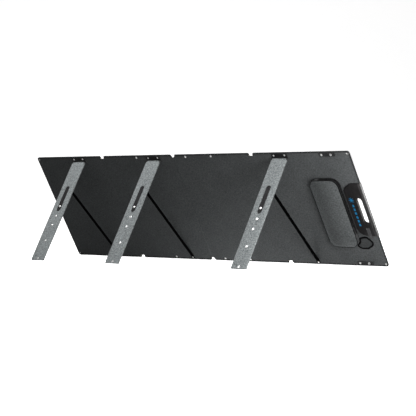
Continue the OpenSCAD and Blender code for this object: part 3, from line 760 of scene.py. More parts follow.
def bend_round_notches(x, y):
    """moves points near the long edges in round the fold notches"""
    low = NOTCH_INSET
    for fold in FOLDS:
        gap = NOTCH_HALF + NOTCH_INSET - abs(x - fold)
        if gap > 0:
            climb = gap / (NOTCH_HALF - NOTCH_HALF_IN) * NOTCH_RISE
            low = max(low, min(NOTCH_INSET + climb, NOTCH_DEPTH + NOTCH_INSET))
    if low > CLOTH_INSET:
        squeeze = (NOTCH_ZONE - low) / (NOTCH_ZONE - CLOTH_INSET)
        if y < NOTCH_ZONE:
            y = low + (y - CLOTH_INSET) * squeeze
        elif y > HEIGHT - NOTCH_ZONE:
            y = HEIGHT - low - (HEIGHT - CLOTH_INSET - y) * squeeze
    return x, y


def wave(x, y):
    return (0.16 * math.sin(x / 61.0 + y / 97.0) + 0.12 * math.sin(y / 43.0 - x / 151.0 + 1.3)
            + 0.08 * math.sin(x / 23.0 - y / 31.0) + 0.05 * math.sin(y / 11.0 + x / 57.0))


def back_cloth(sec):
    """slightly padded, wavy cloth, flat at the hems and folds"""
    def z_at(x, y):
        edge = min(y - 6.0, HEIGHT - 6.0 - y)
        if sec.first:
            edge = min(edge, x - X_MIN - 6.0)
        if sec.last:
            edge = min(edge, X_MAX - 6.0 - x)
        fold = min(abs(x - line) for line in FOLDS) - 8.0
        pad = 0.42 * (1 - math.exp(-max(edge, 0) / 6.0)) * (1 - math.exp(-max(fold, 0) / 9.0))
        return pad + wave(x, y) * ease(edge / 30) * ease(fold / 25) - 0.12

    edge_rows = [9.0, 15.0, 22.0]
    xs, ys = sec.stations(7.5, more_y=edge_rows + [HEIGHT - y for y in edge_rows])
    sheet = grid(xs, ys, z_at, sec.keep, bend_round_notches)
    make(f"back_cloth_{sec.n}", thicken(sheet, 0.7), BACK_CLOTH, sec.body,
         f"back_cover_{sec.n}", recalc=False)


def front_cloth(sec):
    """border cloth round the window over the cells, 4 mm over the film's edge"""
    low, high = box(f"front_film_{sec.n}")
    x0, x1, y0, y1 = low[0] + 4, high[0] - 4, low[1] + 4, high[1] - 4

    def keep(x, y):
        return not (x0 < x < x1 and y0 < y < y1) and sec.keep(x, y)

    def z_at(x, y):
        away = max(x0 - x, x - x1, y0 - y, y - y1, 0)
        return FRONT - 0.25 * (1 - math.exp(-away / 4.0)) + 0.25 * math.exp(-away / 0.8)

    xs, ys = sec.stations(12, more_x=[x0, x1, x0 - 1.5, x1 + 1.5],
                          more_y=[y0, y1, y0 - 1.5, y1 + 1.5])
    verts, faces, materials = grid(xs, ys, z_at, keep, bend_round_notches)
    verts = [vert + OUT * 0.0006 for vert in verts]
    make(f"front_cloth_{sec.n}", thicken((verts, faces, materials), 0.6), FRONT_CLOTH,
         sec.body, recalc=False)


def notch_side(fold, x_end, side):
    """slanted notch side at the bottom edge, from its mouth to the section's end"""
    climb = (NOTCH_HALF - abs(x_end - fold)) / (NOTCH_HALF - NOTCH_HALF_IN) * NOTCH_RISE
    return [(fold + side * NOTCH_HALF, 0.0), (x_end, min(climb, WALL_Y))]


def hem_paths(sec):
    """the section's free edges as (x, y) runs, with the section on their left"""
    if sec.first:
        bottom = arc(X_MIN + CORNER, CORNER, CORNER, 180, 270, 8)
    else:
        bottom = notch_side(FOLDS[sec.n - 2], sec.x0, 1)[::-1]
    if sec.last:
        stop = X_MAX - CORNER
        turn = arc(stop, CORNER, CORNER, 270, 360, 8)
    else:
        stop = FOLDS[sec.n - 1] - NOTCH_HALF
        turn = notch_side(FOLDS[sec.n - 1], sec.x1, -1)
    bottom += [(x, 0.0) for x in spread(bottom[-1][0], stop, 40)[1:]] + turn
    top = [(x, HEIGHT - y) for x, y in bottom][::-1]
    if sec.first:
        end = [(X_MIN, y) for y in spread(HEIGHT - CORNER, CORNER, 24)[1:]]
        return [top + end + bottom]
    if sec.last:
        # the end is open where the handle is, 1 mm clear of it
        below, above = HANDLE_LOW[1] - 1, HANDLE_HIGH[1] + 1
        end_low = [(X_MAX, y) for y in [*spread(CORNER, below, 8)[1:], below]]
        end_high = [(X_MAX, y) for y in spread(above, HEIGHT - CORNER, 6)]
        return [bottom + end_low, end_high + top]
    return [bottom, top]


def edge_hem(sec):
    """bound hem, a plain wall on the fold sides, and stitching on both faces"""
    paths = hem_paths(sec)
    parts = [sweep(path, HEM_PROFILE) for path in paths]
    walls = [] if sec.first else [(sec.x0, sec.x0 + 1)]
    walls += [] if sec.last else [(sec.x1 - 1, sec.x1)]
    for wall in walls:
        parts.append(rounded_box(wall, (WALL_Y, HEIGHT - WALL_Y), (FRONT + 0.1, -0.15), 0.4))
    make(f"edge_hem_{sec.n}", join(parts), HEM_CLOTH, sec.body,
         f"border_hem_{sec.n}")

    def on_front(x, y, z):
        return panel(x, y, HEM_FRONT - (z - HEM_BACK))

    parts = []
    for path in paths:
        line = [tuple(Vector(point) + left_normal(path, k) * HEM_STITCH_INSET)
                for k, point in enumerate(path)]
        parts.append(stitches(line, HEM_BACK, height=min(0.28, 0.84 - HEM_BACK)))
        parts.append(stitches(line, HEM_BACK, place=on_front))
    make(f"hem_stitching_{sec.n}", join(parts), THREAD, sec.body)


def cell_ribbons(sec):
    """five ribbons up each of three columns of cells, and one across below and above"""
    columns, ribbons, gap = 3, 5, 2.5
    (x0, y0, z), (x1, y1, _) = box(f"solar_cells_{sec.n}")
    pitch = (x1 - x0 + gap) / columns
    parts = []
    for column in range(columns):
        for k in range(ribbons):
            x = x0 + column * pitch + (pitch - gap) * (k + 0.5) / ribbons
            parts.append(rounded_box((x - 0.6, x + 0.6), (y0 + 2, y1 - 2),
                                     (z - 0.14, z + 0.02), 0.06, seg=1))
    for y in (y0 - 2.6, y1 + 2.6):
        parts.append(rounded_box((x0 + 6, x1 - 6), (y - 1.4, y + 1.4),
                                 (z - 0.1, z + 0.06), 0.06, seg=1))
    make(f"cell_ribbons_{sec.n}", join(parts), NICKEL, sec.body)


for n in (1, 2, 3, 4):
    section = Section(n)
    back_cloth(section)
    front_cloth(section)
    edge_hem(section)
    cell_ribbons(section)
    finish_cad(f"core_board_{n}", BOARD)
    finish_cad(f"solar_cells_{n}", CELL)
    finish_cad(f"front_film_{n}", FILM)
    # the metalwork carries painted shade at its ends
    finish_cad(f"metalwork_{n}", SHADED_NICKEL)


# ------------------------------------------------------------------
# folds
# ------------------------------------------------------------------
def fold_cloth(which, depth):
    """creased strip between two bodies, with hem cloth at its ends"""
    node = f"fold_strip_{which}"
    low, high = box(node)
    x0, x1 = low[0], high[0]
    middle, width = (x0 + x1) / 2, x1 - x0
    ends = (NOTCH_DEPTH, HEIGHT - NOTCH_DEPTH)

    def z_at(x, y):
        crease = math.exp(-((x - middle) / (width * 0.16)) ** 2)
        free = math.sin(math.pi * (x - x0) / width)
        return (-0.12 - depth * crease + 0.10 * free * math.sin(y / 5.3)
                + 0.07 * free * math.sin(y / 2.9 + 1))

    ys = stations(ends[0] - 1.0, ends[1] + 1.0, 6.0, [ends[0] + 2.5, ends[1] - 2.5])
    sheet = grid([*spread(x0, x1, 16), x1], ys, z_at,
                 material_at=lambda x, y: int(y < ends[0] + 2 or y > ends[1] - 2))
    obj = make(f"fold_cloth_{which}", thicken(sheet, 1.0), [BACK_CLOTH, HEM_CLOTH], None,
               node, recalc=False)
    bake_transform(obj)


fold_cloth("1", depth=0.35)
fold_cloth("2a", depth=0.12)
fold_cloth("2b", depth=0.12)
fold_cloth("3", depth=0.35)
x_span, y_span, (z_low, z_high) = zip(*box("fold_slat_2"))
make("fold_slat_cloth", rounded_box(x_span, y_span, (z_low, z_high - 0.1), 1.2), BACK_CLOTH,
     "fold_slat", "fold_slat_2")


# ------------------------------------------------------------------
# legs
# ------------------------------------------------------------------
def along_leg(k, node):
    """distances of a CAD piece's vertices along leg k"""
    hinge = leg_point(k, 0, 0, 0)
    return [(v.co - hinge).dot(ALONG_LEG) * 1000 for v in nodes[node].data.vertices]


LEG_LENGTH = max(along_leg(0, "leg_board_1"))
LEG_HALF = (box("leg_board_1")[1][0] - box("leg_board_1")[0][0]) / 2
LEG_PARENTS = ["section_1", "section_2", "section_4"]
LEG_STITCH_Z = 2.25
LEG_STITCH_INSET = 4.5
TONGUE_RADIUS = 12.0
TONGUE_Z = 3.62                    # flat face inside the tongue's bound edge
SLOT_INSET = 5.0                   # slot in the leg, up from the tongue's hinge-side end
# tongue section: (in from the edge, z)
TONGUE_PROFILE = [(0.25, 2.26), (0.0, 2.6), (0.0, 3.3), (0.25, 3.68), (0.9, 3.8), (2.0, 3.76),
                  (2.3, TONGUE_Z), (6.0, TONGUE_Z), (11.3, TONGUE_Z), (11.3, 2.26)]
# prop strap section: (x, distance off the middle of its thickness)
PROP_SECTION = [
    (-10, -0.35), (-10, 0.35), (-9.65, 0.66), (-8.4, 0.74), (-7.8, 0.6), (-4, 0.62), (0, 0.62),
    (4, 0.62), (7.8, 0.6), (8.4, 0.74), (9.65, 0.66), (10, 0.35), (10, -0.35), (9.65, -0.66),
    (8.4, -0.74), (7.8, -0.6), (0, -0.62), (-7.8, -0.6), (-8.4, -0.74), (-9.65, -0.66)]
PROP_Y, PROP_BEND_Y, PROP_Z = 7.0, 21.0, 0.85   # start and bend of the strap on the panel
PROP_BEND_RADIUS = 9.0


def leg_cover(n):
    """the leg's board, rounded and covered in cloth"""
    mesh = nodes[f"leg_board_{n}"].data.copy()
    mesh.name = f"leg_cover_{n}"
    mesh.materials.clear()
    mesh.materials.append(LEG_CLOTH)
    obj = bpy.data.objects.new(f"leg_cover_{n}", mesh)
    scene.collection.objects.link(obj)
    bm = bmesh.new()
    bm.from_mesh(mesh)
    bmesh.ops.remove_doubles(bm, verts=bm.verts, dist=2e-6)
    bmesh.ops.dissolve_limit(bm, angle_limit=math.radians(1), verts=bm.verts, edges=bm.edges)
    for face in bm.faces:
        face.smooth = True
    bm.to_mesh(mesh)
    bm.free()
    edge = obj.modifiers.new("edge", "BEVEL")
    edge.width = 0.0011
    edge.segments = 3
    edge.limit_method = "ANGLE"
    edge.angle_limit = math.radians(40)
    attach(obj, f"leg_{n}")
    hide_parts(f"leg_board_{n}")


def leg_stitching(n, on_leg, slot_y):
    """lines round the leg on both faces, and round the slot on the outer face"""
    side_x = LEG_HALF - LEG_STITCH_INSET
    end_y = LEG_LENGTH - LEG_STITCH_INSET
    border = [(-side_x, 9.5), (-side_x, end_y), (side_x, end_y), (side_x, 9.5)]
    parts = [stitches(border, LEG_STITCH_Z, closed=True,
                      place=lambda x, y, z: on_leg(x, y, side * z)) for side in (1, -1)]
    slot = arc(8.5, slot_y, 5.5, 270, 450, 8) + arc(-8.5, slot_y, 5.5, 90, 270, 8)
    parts.append(stitches(slot, LEG_STITCH_Z, pitch=2.5, length=1.8, width=0.45, closed=True,
                          place=on_leg))
    make(f"leg_stitching_{n}", join(parts), LEG_THREAD, f"leg_{n}")


def strap_end(n, on_leg, y0, y1, slot_y):
    """rounded webbing tongue with a bound edge, and the strap's pass through the slot"""
    def outline(radius, steps):
        return (arc(0, y0 + TONGUE_RADIUS, radius, 180, 360, steps)
                + arc(0, y1 - TONGUE_RADIUS, radius, 0, 180, steps))

    parts = [filled_sweep(outline(TONGUE_RADIUS, 14), TONGUE_PROFILE, on_leg),
             rounded_box((-9, 9), (slot_y - 0.6, slot_y + 0.7), (0.0, 3.0), 0.4, on_leg)]
    make(f"strap_end_{n}", join(parts), TONGUE_WEB, f"leg_{n}", f"strap_tongue_{n}")
    thread = stitches(outline(TONGUE_RADIUS - 2.6, 10), TONGUE_Z, pitch=3.4, length=2.2,
                      width=0.45, closed=True, place=on_leg)
    make(f"strap_end_stitching_{n}", thread, THREAD, f"leg_{n}")


def prop_strap(k, slot_y):
    """taut strap from the bottom edge of the panel, round a bend, up to the leg's slot"""
    n = k + 1
    reach = slot_y + 0.3
    bend = Vector((PROP_BEND_Y, PROP_Z))
    end = Vector((HINGE_Y - reach * math.cos(OPEN), HINGE_Z + reach * math.sin(OPEN)))
    ahead = (end - bend).normalized()
    end = end - ahead * 0.4
    slope = math.atan2(ahead.y, ahead.x)
    trim = PROP_BEND_RADIUS * math.tan(slope / 2)
    path = [(y, PROP_Z) for y in spread(PROP_Y, PROP_BEND_Y - trim, 4)]
    for j in range(7):
        angle = slope * j / 6
        path.append((PROP_BEND_Y - trim + PROP_BEND_RADIUS * math.sin(angle),
                     PROP_Z + PROP_BEND_RADIUS * (1 - math.cos(angle))))
    start = bend + ahead * trim
    path += [tuple(start + (end - start) * (j / 40)) for j in range(1, 41)]
    section = [(LEG_X[k] + x, rise) for x, rise in PROP_SECTION]
    obj = make(f"prop_strap_{n}", ribbon(path, section), PROP_WEB, LEG_PARENTS[k],
               f"leg_strap_{n}")
    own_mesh(obj)


for k in range(3):
    n = k + 1
    on_leg = partial(leg_point, k)
    tongue = along_leg(k, f"strap_tongue_{n}")
    slot_y = min(tongue) + SLOT_INSET
    leg_cover(n)
    leg_stitching(n, on_leg, slot_y)
    finish_cad(f"leg_studs_{n}", NICKEL)
    finish_cad(f"hinge_plate_{n}", PLATE, 0.35)
    strap_end(n, on_leg, min(tongue), max(tongue), slot_y)
    prop_strap(k, slot_y)

# ------------------------------------------------------------------
# closure tabs
# ------------------------------------------------------------------
TAB_Z0, TAB_Z1 = 0.9, 2.5
TAB_RADIUS = 9.0                   # round high-x end
TAB_CORNER = 5                     # corners of the other end
SNAP_REACH = 50.5                  # snap from the swivel
# (in from the edge, z)
TAB_PROFILE = [
    (0.3, TAB_Z0), (0.0, TAB_Z0 + 0.4), (0.0, TAB_Z1 - 0.4), (0.3, TAB_Z1), (1.3, TAB_Z1 + 0.06),
    (1.9, TAB_Z1 - 0.08), (3.6, TAB_Z1 - 0.08), (3.6, TAB_Z0)]
# (radius, z)
SNAP_PROFILE = [(0.01, -0.1), (6.2, -0.1), (6.25, 0.3), (6.1, 0.8), (5.6, 1.45), (4.4, 2.0),
                (2.6, 2.3), (0.8, 2.42), (0.01, 2.44)]
WASHER_PROFILE = [(0.01, 1.5), (4.9, 1.5), (5.4, 1.62), (5.4, 1.75), (4.8, 1.85), (0.01, 1.85)]


def closure_tab(which):
    """webbing tab with a domed snap, and a washer at its swivel"""
    body = f"{which}_tab"
    swivel_x, swivel_y, _ = joint_coords(f"{which}_tab_swivel")
    low, high = box(f"closure_tab_{which}")

    def outline(inset, round_steps, corner_steps):
        corner_x, corner = low[0] + TAB_CORNER, TAB_CORNER - inset
        return (arc(high[0] - TAB_RADIUS, swivel_y, TAB_RADIUS - inset, -90, 90, round_steps)
                + arc(corner_x, swivel_y + 4, corner, 90, 180, corner_steps)
                + arc(corner_x, swivel_y - 4, corner, 180, 270, corner_steps))

    make(f"closure_strap_{which}", filled_sweep(outline(0, 14, 6), TAB_PROFILE), TAB_WEB, body,
         f"closure_tab_{which}")
    thread = stitches(outline(2.4, 10, 3), TAB_Z1 - 0.1, pitch=3.2, length=2.1, width=0.45,
                      closed=True)
    make(f"closure_stitching_{which}", thread, THREAD, body)
    snap = lathe(SNAP_PROFILE, panel(swivel_x + SNAP_REACH, swivel_y, TAB_Z1), 36)
    make(f"closure_snap_{which}", snap, SNAP_NICKEL, body, sharp=60)
    washer = lathe(WASHER_PROFILE, panel(swivel_x, swivel_y, TAB_Z0), 32)
    make(f"closure_washer_{which}", washer, NICKEL, body, sharp=60)


closure_tab("top")
closure_tab("bottom")


# ------------------------------------------------------------------
# handle
# ------------------------------------------------------------------
def keeper_strap():
    """webbing flat on the handle's back, then down over its edge at low y"""
    (x0, y0, _), (x1, y1, _) = box("keeper_strap")
    top = HANDLE_HIGH[2]
    bend_y, bend_z = 160.6, top + 0.05
    path = [(y1, top + 0.72), (y1 - 10, top + 0.74), (y1 - 22, top + 0.72),
            (y1 - 34, top + 0.74), (164.5, top + 0.74), (162.4, top + 0.55), (bend_y, bend_z)]
    path += [(bend_y - (bend_y - y0 - 2.2) * k / 6, bend_z - (top - 5.0) * (k / 6) ** 0.9)
             for k in range(1, 7)]
    section = [(x0, 0.3), (x0, -0.3), (x0 + 0.4, -0.6), (x0 + 1.6, -0.68), (x0 + 2.2, -0.55),
               (x1 - 2.2, -0.55), (x1 - 1.6, -0.68), (x1 - 0.4, -0.6), (x1, -0.3), (x1, 0.3),
               (x1 - 0.4, 0.6), (x0 + 0.4, 0.6)]
    make("keeper_webbing", ribbon(path, section), KEEPER_WEB, "section_4",
         "keeper_strap")
    # a stitched box with a cross in it
    left, right, low, high = x0 + 3.2, x1 - 3.2, y1 - 15, y1 - 3.5
    thread = partial(stitches, z=top + 1.28, pitch=3.0, length=2.0, width=0.45)
    parts = [thread([(left, high), (right, high), (right, low), (left, low)], closed=True),
             thread([(left, high), (right, low)]),
             thread([(right, high), (left, low)])]
    make("keeper_stitching", join(parts), THREAD, "section_4")


finish_cad("handle_back", PLASTIC, 0.7, 3)
finish_cad("handle_front", PLASTIC, 0.4, 2)
finish_cad("handle_screws", NICKEL)
finish_cad("handle_mark", BLUE_PRINT)
keeper_strap()

# ------------------------------------------------------------------
# pouch
# ------------------------------------------------------------------
(POUCH_X0, POUCH_Y0, _), (POUCH_X1, POUCH_Y1, TRAY_Z) = box("pouch_tray")
LID_Z = box("pouch_lid")[1][2]
POUCH_RADIUS = 38.0
POUCH_X, POUCH_Y = (POUCH_X0 + POUCH_X1) / 2, (POUCH_Y0 + POUCH_Y1) / 2
HALF_X, HALF_Y = (POUCH_X1 - POUCH_X0) / 2, (POUCH_Y1 - POUCH_Y0) / 2
LID_WALL = 2.2                     # the lid's inner face, in from its rim
LID_THICK = 1.9
# rings of the lid, in from its rim
LID_INSETS = [0.6, 1.6, 3.2, 5.5, 8.5, 12.5, 17.5, 23.5, 30.0, 37.0, 44.0, 51.0, 58.0, 65.0]
# gusset section: (in from the outline, z), round the wall and the piped foot
GUSSET_PROFILE = [
    (2.0, 1.2), (2.0, TRAY_Z - 0.2), (1.2, TRAY_Z), (0.5, TRAY_Z - 0.3), (0.15, TRAY_Z - 1.2),
    (0.3, TRAY_Z - 5), (0.75, TRAY_Z * 0.55), (0.35, TRAY_Z * 0.36), (0.1, 4.2), (0.2, 3.1),
    (-0.7, 2.7), (-1.2, 1.7), (-1.0, 0.7), (-0.4, 0.1), (1.0, 0.05), (8.0, 0.2), (8.0, 1.2)]
GUSSET_PIPING = range(10, 14)      # profile walls that are piping
# zip tape section: (in from the outline, z)
ZIP_PROFILE = [
    (0.5, 2.4), (0.05, 2.5), (-0.3, 3.0), (-0.35, TRAY_Z - 7.6), (-0.55, TRAY_Z - 6.4),
    (-0.55, TRAY_Z - 3.2), (-0.35, TRAY_Z - 2.0), (-0.3, TRAY_Z - 0.5), (0.05, TRAY_Z),
    (0.5, TRAY_Z)]
ZIP_Z = TRAY_Z - 4.8               # middle of the teeth
TOOTH_PITCH = 3.0                  # of each of the two rows
BLOCK_FACES = [(0, 1, 3, 2), (4, 6, 7, 5), (0, 4, 5, 1), (2, 3, 7, 6), (0, 2, 6, 4), (1, 5, 7, 3)]


def pouch_path(inset, corner=10, side=46, end=14):
    """the pouch's rounded outline, with the steps in each corner, long side and end"""
    radius = max(POUCH_RADIUS - inset, 4.0)
    trim = inset + radius
    x0, x1, y0, y1 = POUCH_X0 + trim, POUCH_X1 - trim, POUCH_Y0 + trim, POUCH_Y1 - trim
    path = arc(x1, y0, radius, -90, 0, corner)
    path += [(x1 + radius, y) for y in spread(y0, y1, side)[1:]]
    path += arc(x1, y1, radius, 0, 90, corner)
    path += [(x, y1 + radius) for x in spread(x1, x0, end)[1:]]
    path += arc(x0, y1, radius, 90, 180, corner)
    path += [(x0 - radius, y) for y in spread(y1, y0, side)[1:]]
    path += arc(x0, y0, radius, 180, 270, corner)
    path += [(x, y0 - radius) for x in spread(x0, x1, end)[1:]]
    return path


def rim_distance(x, y):
    """distance in from the pouch's outline"""
    distance = min(x - POUCH_X0, POUCH_X1 - x, y - POUCH_Y0, POUCH_Y1 - y)
    past_x = max(POUCH_X0 + POUCH_RADIUS - x, x - POUCH_X1 + POUCH_RADIUS)
    past_y = max(POUCH_Y0 + POUCH_RADIUS - y, y - POUCH_Y1 + POUCH_RADIUS)
    if past_x > 0 and past_y > 0:
        distance = min(distance, POUCH_RADIUS - math.hypot(past_x, past_y))
    return distance


def puff(obj, pin_below, cap, pressure, frames):
    """blows a sheet up as cloth, held below a panel z, and keeps the shape; cap is the
    farthest a vertex may move, in mm"""
    mesh = obj.data
    pinned = [v.index for v in mesh.vertices if panel_coords(v.co)[2] < pin_below]
    start = np.array([v.co[:] for v in mesh.vertices])
    group = obj.vertex_groups.new(name="pin")
    group.add(pinned, 1.0, "REPLACE")
    cloth = obj.modifiers.new("cloth", "CLOTH")
    settings = dict(quality=7, mass=0.25, tension_stiffness=18, compression_stiffness=18,
                    shear_stiffness=6, bending_stiffness=0.6, use_pressure=True,
                    uniform_pressure_force=pressure, shrink_min=-0.012)
    for key, value in settings.items():
        setattr(cloth.settings, key, value)
    cloth.settings.effector_weights.gravity = 0
    cloth.settings.vertex_group_mass = "pin"
    cloth.collision_settings.use_collision = False
    cloth.point_cache.frame_start = 1
    cloth.point_cache.frame_end = frames
    scene.frame_start, scene.frame_end = 1, frames
    for k in range(1, frames + 1):
        scene.frame_set(k)
    result = obj.evaluated_get(bpy.context.evaluated_depsgraph_get())
    end = np.array([v.co[:] for v in result.to_mesh().vertices])
    result.to_mesh_clear()
    move = end - start
    length = np.linalg.norm(move, axis=1)
    share = np.where(length > cap / 1000, cap / 1000 / np.maximum(length, 1e-9), 1.0)
    share = np.where(np.isfinite(length), share, 0.0)
    obj.modifiers.remove(cloth)
    obj.vertex_groups.remove(group)
    scene.frame_set(1)
    mesh.vertices.foreach_set("co", (start + np.nan_to_num(move) * share[:, None]).ravel())
    mesh.update()


def subdivide(obj):
    smooth = obj.modifiers.new("smooth", "SUBSURF")
    smooth.levels = smooth.render_levels = 1


def pouch_gusset():
    """side wall of the pouch with a piped foot"""
    verts, faces = sweep(pouch_path(0.0, 12, 20, 6), GUSSET_PROFILE, closed=True)
    materials = [int(k % len(GUSSET_PROFILE) in GUSSET_PIPING) for k in range(len(faces))]
    make("pouch_gusset", (verts, faces, materials), [GUSSET_CLOTH, PIPING], "section_4",
         "pouch_tray")


def pouch_lining():
    """uneven cloth on the pouch's floor"""
    def z_at(x, y):
        return 1.1 + 0.2 * math.sin(x / 7.0) * math.sin(y / 9.0) + 0.1 * math.sin((x + y) / 4.0)

    sheet = grid(stations(POUCH_X0 + 6, POUCH_X1 - 6, 7), stations(POUCH_Y0 + 6, POUCH_Y1 - 6, 7),
                 z_at, lambda x, y: rim_distance(x, y) > 3.5)
    make("pouch_lining", thicken(sheet, 0.8), LINING, "section_4", recalc=False)


def crown_z(inset):
    """height of the lid over the tray, from the rim in"""
    share = min(inset / (HALF_X - 6), 1.0)
    return TRAY_Z + (1.5 + 1.0 * (1 - math.exp(-inset / 1.5)) + 7.2 * (1 - (1 - share) ** 2.2))


def lid_sheet():
    """crowned sheet: rings from the rim in, closed by two shrinking ones on a spine"""
    rings = [(pouch_path(0.0), TRAY_Z + 0.5), (pouch_path(0.0), TRAY_Z + 1.5)]
    rings += [(pouch_path(inset), crown_z(inset)) for inset in LID_INSETS]
    innermost = rings[-1][0]
    for scale_x, scale_y in ((0.5, 0.985), (0.0, 0.97)):
        ring = [(POUCH_X + (x - POUCH_X) * scale_x, POUCH_Y + (y - POUCH_Y) * scale_y)
                for x, y in innermost]
        rings.append((ring, crown_z(HALF_X)))
    verts = [panel(x, y, z) for ring, z in rings for x, y in ring]
    sheet = make("pouch_lid_shell", (verts, ring_faces(len(rings), len(innermost))), LID_CLOTH,
                 None, sharp=80, recalc=False)
    bm = bmesh.new()
    bm.from_mesh(sheet.data)
    bmesh.ops.remove_doubles(bm, verts=bm.verts, dist=2e-5)
    bmesh.ops.dissolve_degenerate(bm, edges=bm.edges, dist=1e-6)
    bmesh.ops.recalc_face_normals(bm, faces=bm.faces)
    if sum(face.normal.dot(OUT) for face in bm.faces) < 0:
        bmesh.ops.reverse_faces(bm, faces=bm.faces)
    bm.to_mesh(sheet.data)
    bm.free()
    return sheet


def uneven(point):
    """hand-made unevenness of the lid, fading out towards its rim"""
    x, y, z = panel_coords(point)
    rise = ease((rim_distance(x, y) - 3) / 12) * (
        0.22 * math.sin(x / 13.0 + y / 37.0) + 0.16 * math.sin(y / 19.0 - x / 29.0 + 0.7)
        + 0.08 * math.sin(y / 6.3 + x / 9.1))
    return panel(x, y, min(z + rise, LID_Z + 0.2))


def lid_inner(point):
    """the inner face's vertex for an outer one"""
    x, y, z = panel_coords(point)
    return panel(POUCH_X + (x - POUCH_X) * ((HALF_X - LID_WALL) / HALF_X),
                 POUCH_Y + (y - POUCH_Y) * ((HALF_Y - LID_WALL) / HALF_Y),
                 max(z - LID_THICK, TRAY_Z + 0.5))


def pouch_lid():
    """crowned lid, blown up as cloth and then given its thickness, with a piped rim"""
    sheet = lid_sheet()
    puff(sheet, pin_below=TRAY_Z + 1.8, cap=1.6, pressure=4.0, frames=20)
    outer = [uneven(v.co) for v in sheet.data.vertices]
    faces = [tuple(face.vertices) for face in sheet.data.polygons]
    bpy.data.objects.remove(sheet)
    shape = shell(outer, [lid_inner(point) for point in outer], faces,
                  [0] * len(faces), [1] * len(faces))
    lid = make("pouch_lid_shell", shape, [LID_CLOTH, LINING], None, sharp=50,
               recalc=False)
    subdivide(lid)
    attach(lid, "lid")
    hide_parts("pouch_lid")
    piping = sweep(pouch_path(0.0, 12, 20, 6), ellipse(-0.3, TRAY_Z + 1.6, 1.3, 1.3, 12), True)
    make("pouch_lid_piping", piping, PIPING, "lid", sharp=80)


def pouch_zip():
    """wide tape round part of the gusset, with two rows of teeth"""
    x_low, y_low, _ = box("zipper_track")[0]
    path = [(x, y) for x, y in pouch_path(0.0, 22, 90, 30) if y > y_low and x > x_low + 12]
    # in order round a point 60 mm to the low-x side of the middle
    path.sort(key=lambda point: math.atan2(point[1] - POUCH_Y, point[0] - POUCH_X + 60))
    make("zip_tape", sweep(path, ZIP_PROFILE), ZIP_TAPE, "section_4",
         "zipper_track")
    teeth = []
    points = [Vector(point) for point in path]
    distance = 0.0
    for start, stop in zip(points, points[1:]):
        run = (stop - start).length
        ahead = (stop - start) / run
        outward = Vector((ahead.y, -ahead.x))
        while distance < run:
            middle = start + ahead * distance
            side = 1 if len(teeth) % 2 else -1
            verts = []
            for length in (-0.65, 0.65):
                for rise in (-1.5, 0.6):
                    for depth in (0.45, 1.45):
                        corner = middle + ahead * length + outward * depth
                        verts.append(panel(corner.x, corner.y, ZIP_Z + side * rise))
            teeth.append((verts, BLOCK_FACES))
            distance += TOOTH_PITCH / 2
        distance -= run
    make("zip_teeth", join(teeth), PLATE, "section_4")
    finish_cad("zipper_slider", BLACK_NICKEL, 0.3)


pouch_gusset()
pouch_lining()
pouch_lid()
pouch_zip()

# ------------------------------------------------------------------
# cable flap
# ------------------------------------------------------------------
FLAP_X = mid_x("cable_flap") + 1.0
FLAP_Y = (box("cable_flap")[0][1] + box("cable_flap")[1][1]) / 2 - 2.0
FLAP_COUNT = 72                    # points round the flap
POUCH_GAP = 1.5                    # clearance to the pouch
# the leaf's widest outline: (degrees, radius) about the flap's middle
LEAF = np.array([
    (0, 48), (18, 50), (31, 48), (45, 43), (60, 38.5), (80, 34.5), (98, 32.5), (112, 33),
    (128, 35.6), (145, 38.5), (162, 42), (177, 48), (186, 53), (200, 51), (222, 43),
    (240, 37.5), (255, 34.5), (275, 33), (290, 32.5), (306, 32.5), (318, 34), (330, 37.5),
    (342, 42), (360, 48)], float)
# rings of the pad: (in from the outline, z)
FLAP_RINGS = [(5.0, 0.3), (1.2, 0.35), (0.9, 1.2), (1.3, 1.9), (3.0, 2.3), (5.5, 2.7),
              (8.5, 3.0), (12.0, 3.2), (16.0, 3.35), (20.0, 3.45), (24.0, 3.5)]


def convex_hull(points):
    points = sorted({(round(float(x), 3), round(float(y), 3)) for x, y in points})

    def chain(sequence):
        kept = []
        for x, y in sequence:
            while len(kept) > 1:
                (x0, y0), (x1, y1) = kept[-2:]
                if (x1 - x0) * (y - y0) - (y1 - y0) * (x - x0) > 0:
                    break
                kept.pop()
            kept.append((x, y))
        return kept

    return chain(points)[:-1] + chain(points[::-1])


def in_pouch_zone(x, y):
    """whether a point is over the pouch or within its clearance, near the corner by the flap"""
    corner_x, corner_y = POUCH_X1 - POUCH_RADIUS, POUCH_Y0 + POUCH_RADIUS
    if y > corner_y and x < POUCH_X1 + POUCH_GAP:
        return True
    if x < corner_x and y > POUCH_Y0 - POUCH_GAP:
        return True
    return (y <= corner_y and x >= corner_x
            and math.hypot(x - corner_x, y - corner_y) < POUCH_RADIUS + POUCH_GAP)


def flap_radius(angle, hull):
    """the least of the CAD outline, the leaf and the way to the pouch's clearance"""
    ray_x, ray_y = math.cos(angle), math.sin(angle)
    best = 1e9
    for (x0, y0), (x1, y1) in zip(hull, hull[1:] + hull[:1]):
        side_x, side_y = x1 - x0, y1 - y0
        cross = ray_x * side_y - ray_y * side_x
        if abs(cross) < 1e-9:
            continue
        radius = ((x0 - FLAP_X) * side_y - (y0 - FLAP_Y) * side_x) / cross
        share = ((x0 - FLAP_X) * ray_y - (y0 - FLAP_Y) * ray_x) / cross
        if radius > 0 and -1e-6 <= share <= 1 + 1e-6:
            best = min(best, radius)
    best = min(best, float(np.interp(math.degrees(angle) % 360, *LEAF.T)))
    radius = 2.0
    while radius < best:
        if in_pouch_zone(FLAP_X + ray_x * radius, FLAP_Y + ray_y * radius):
            return radius
        radius += 0.5
    return best


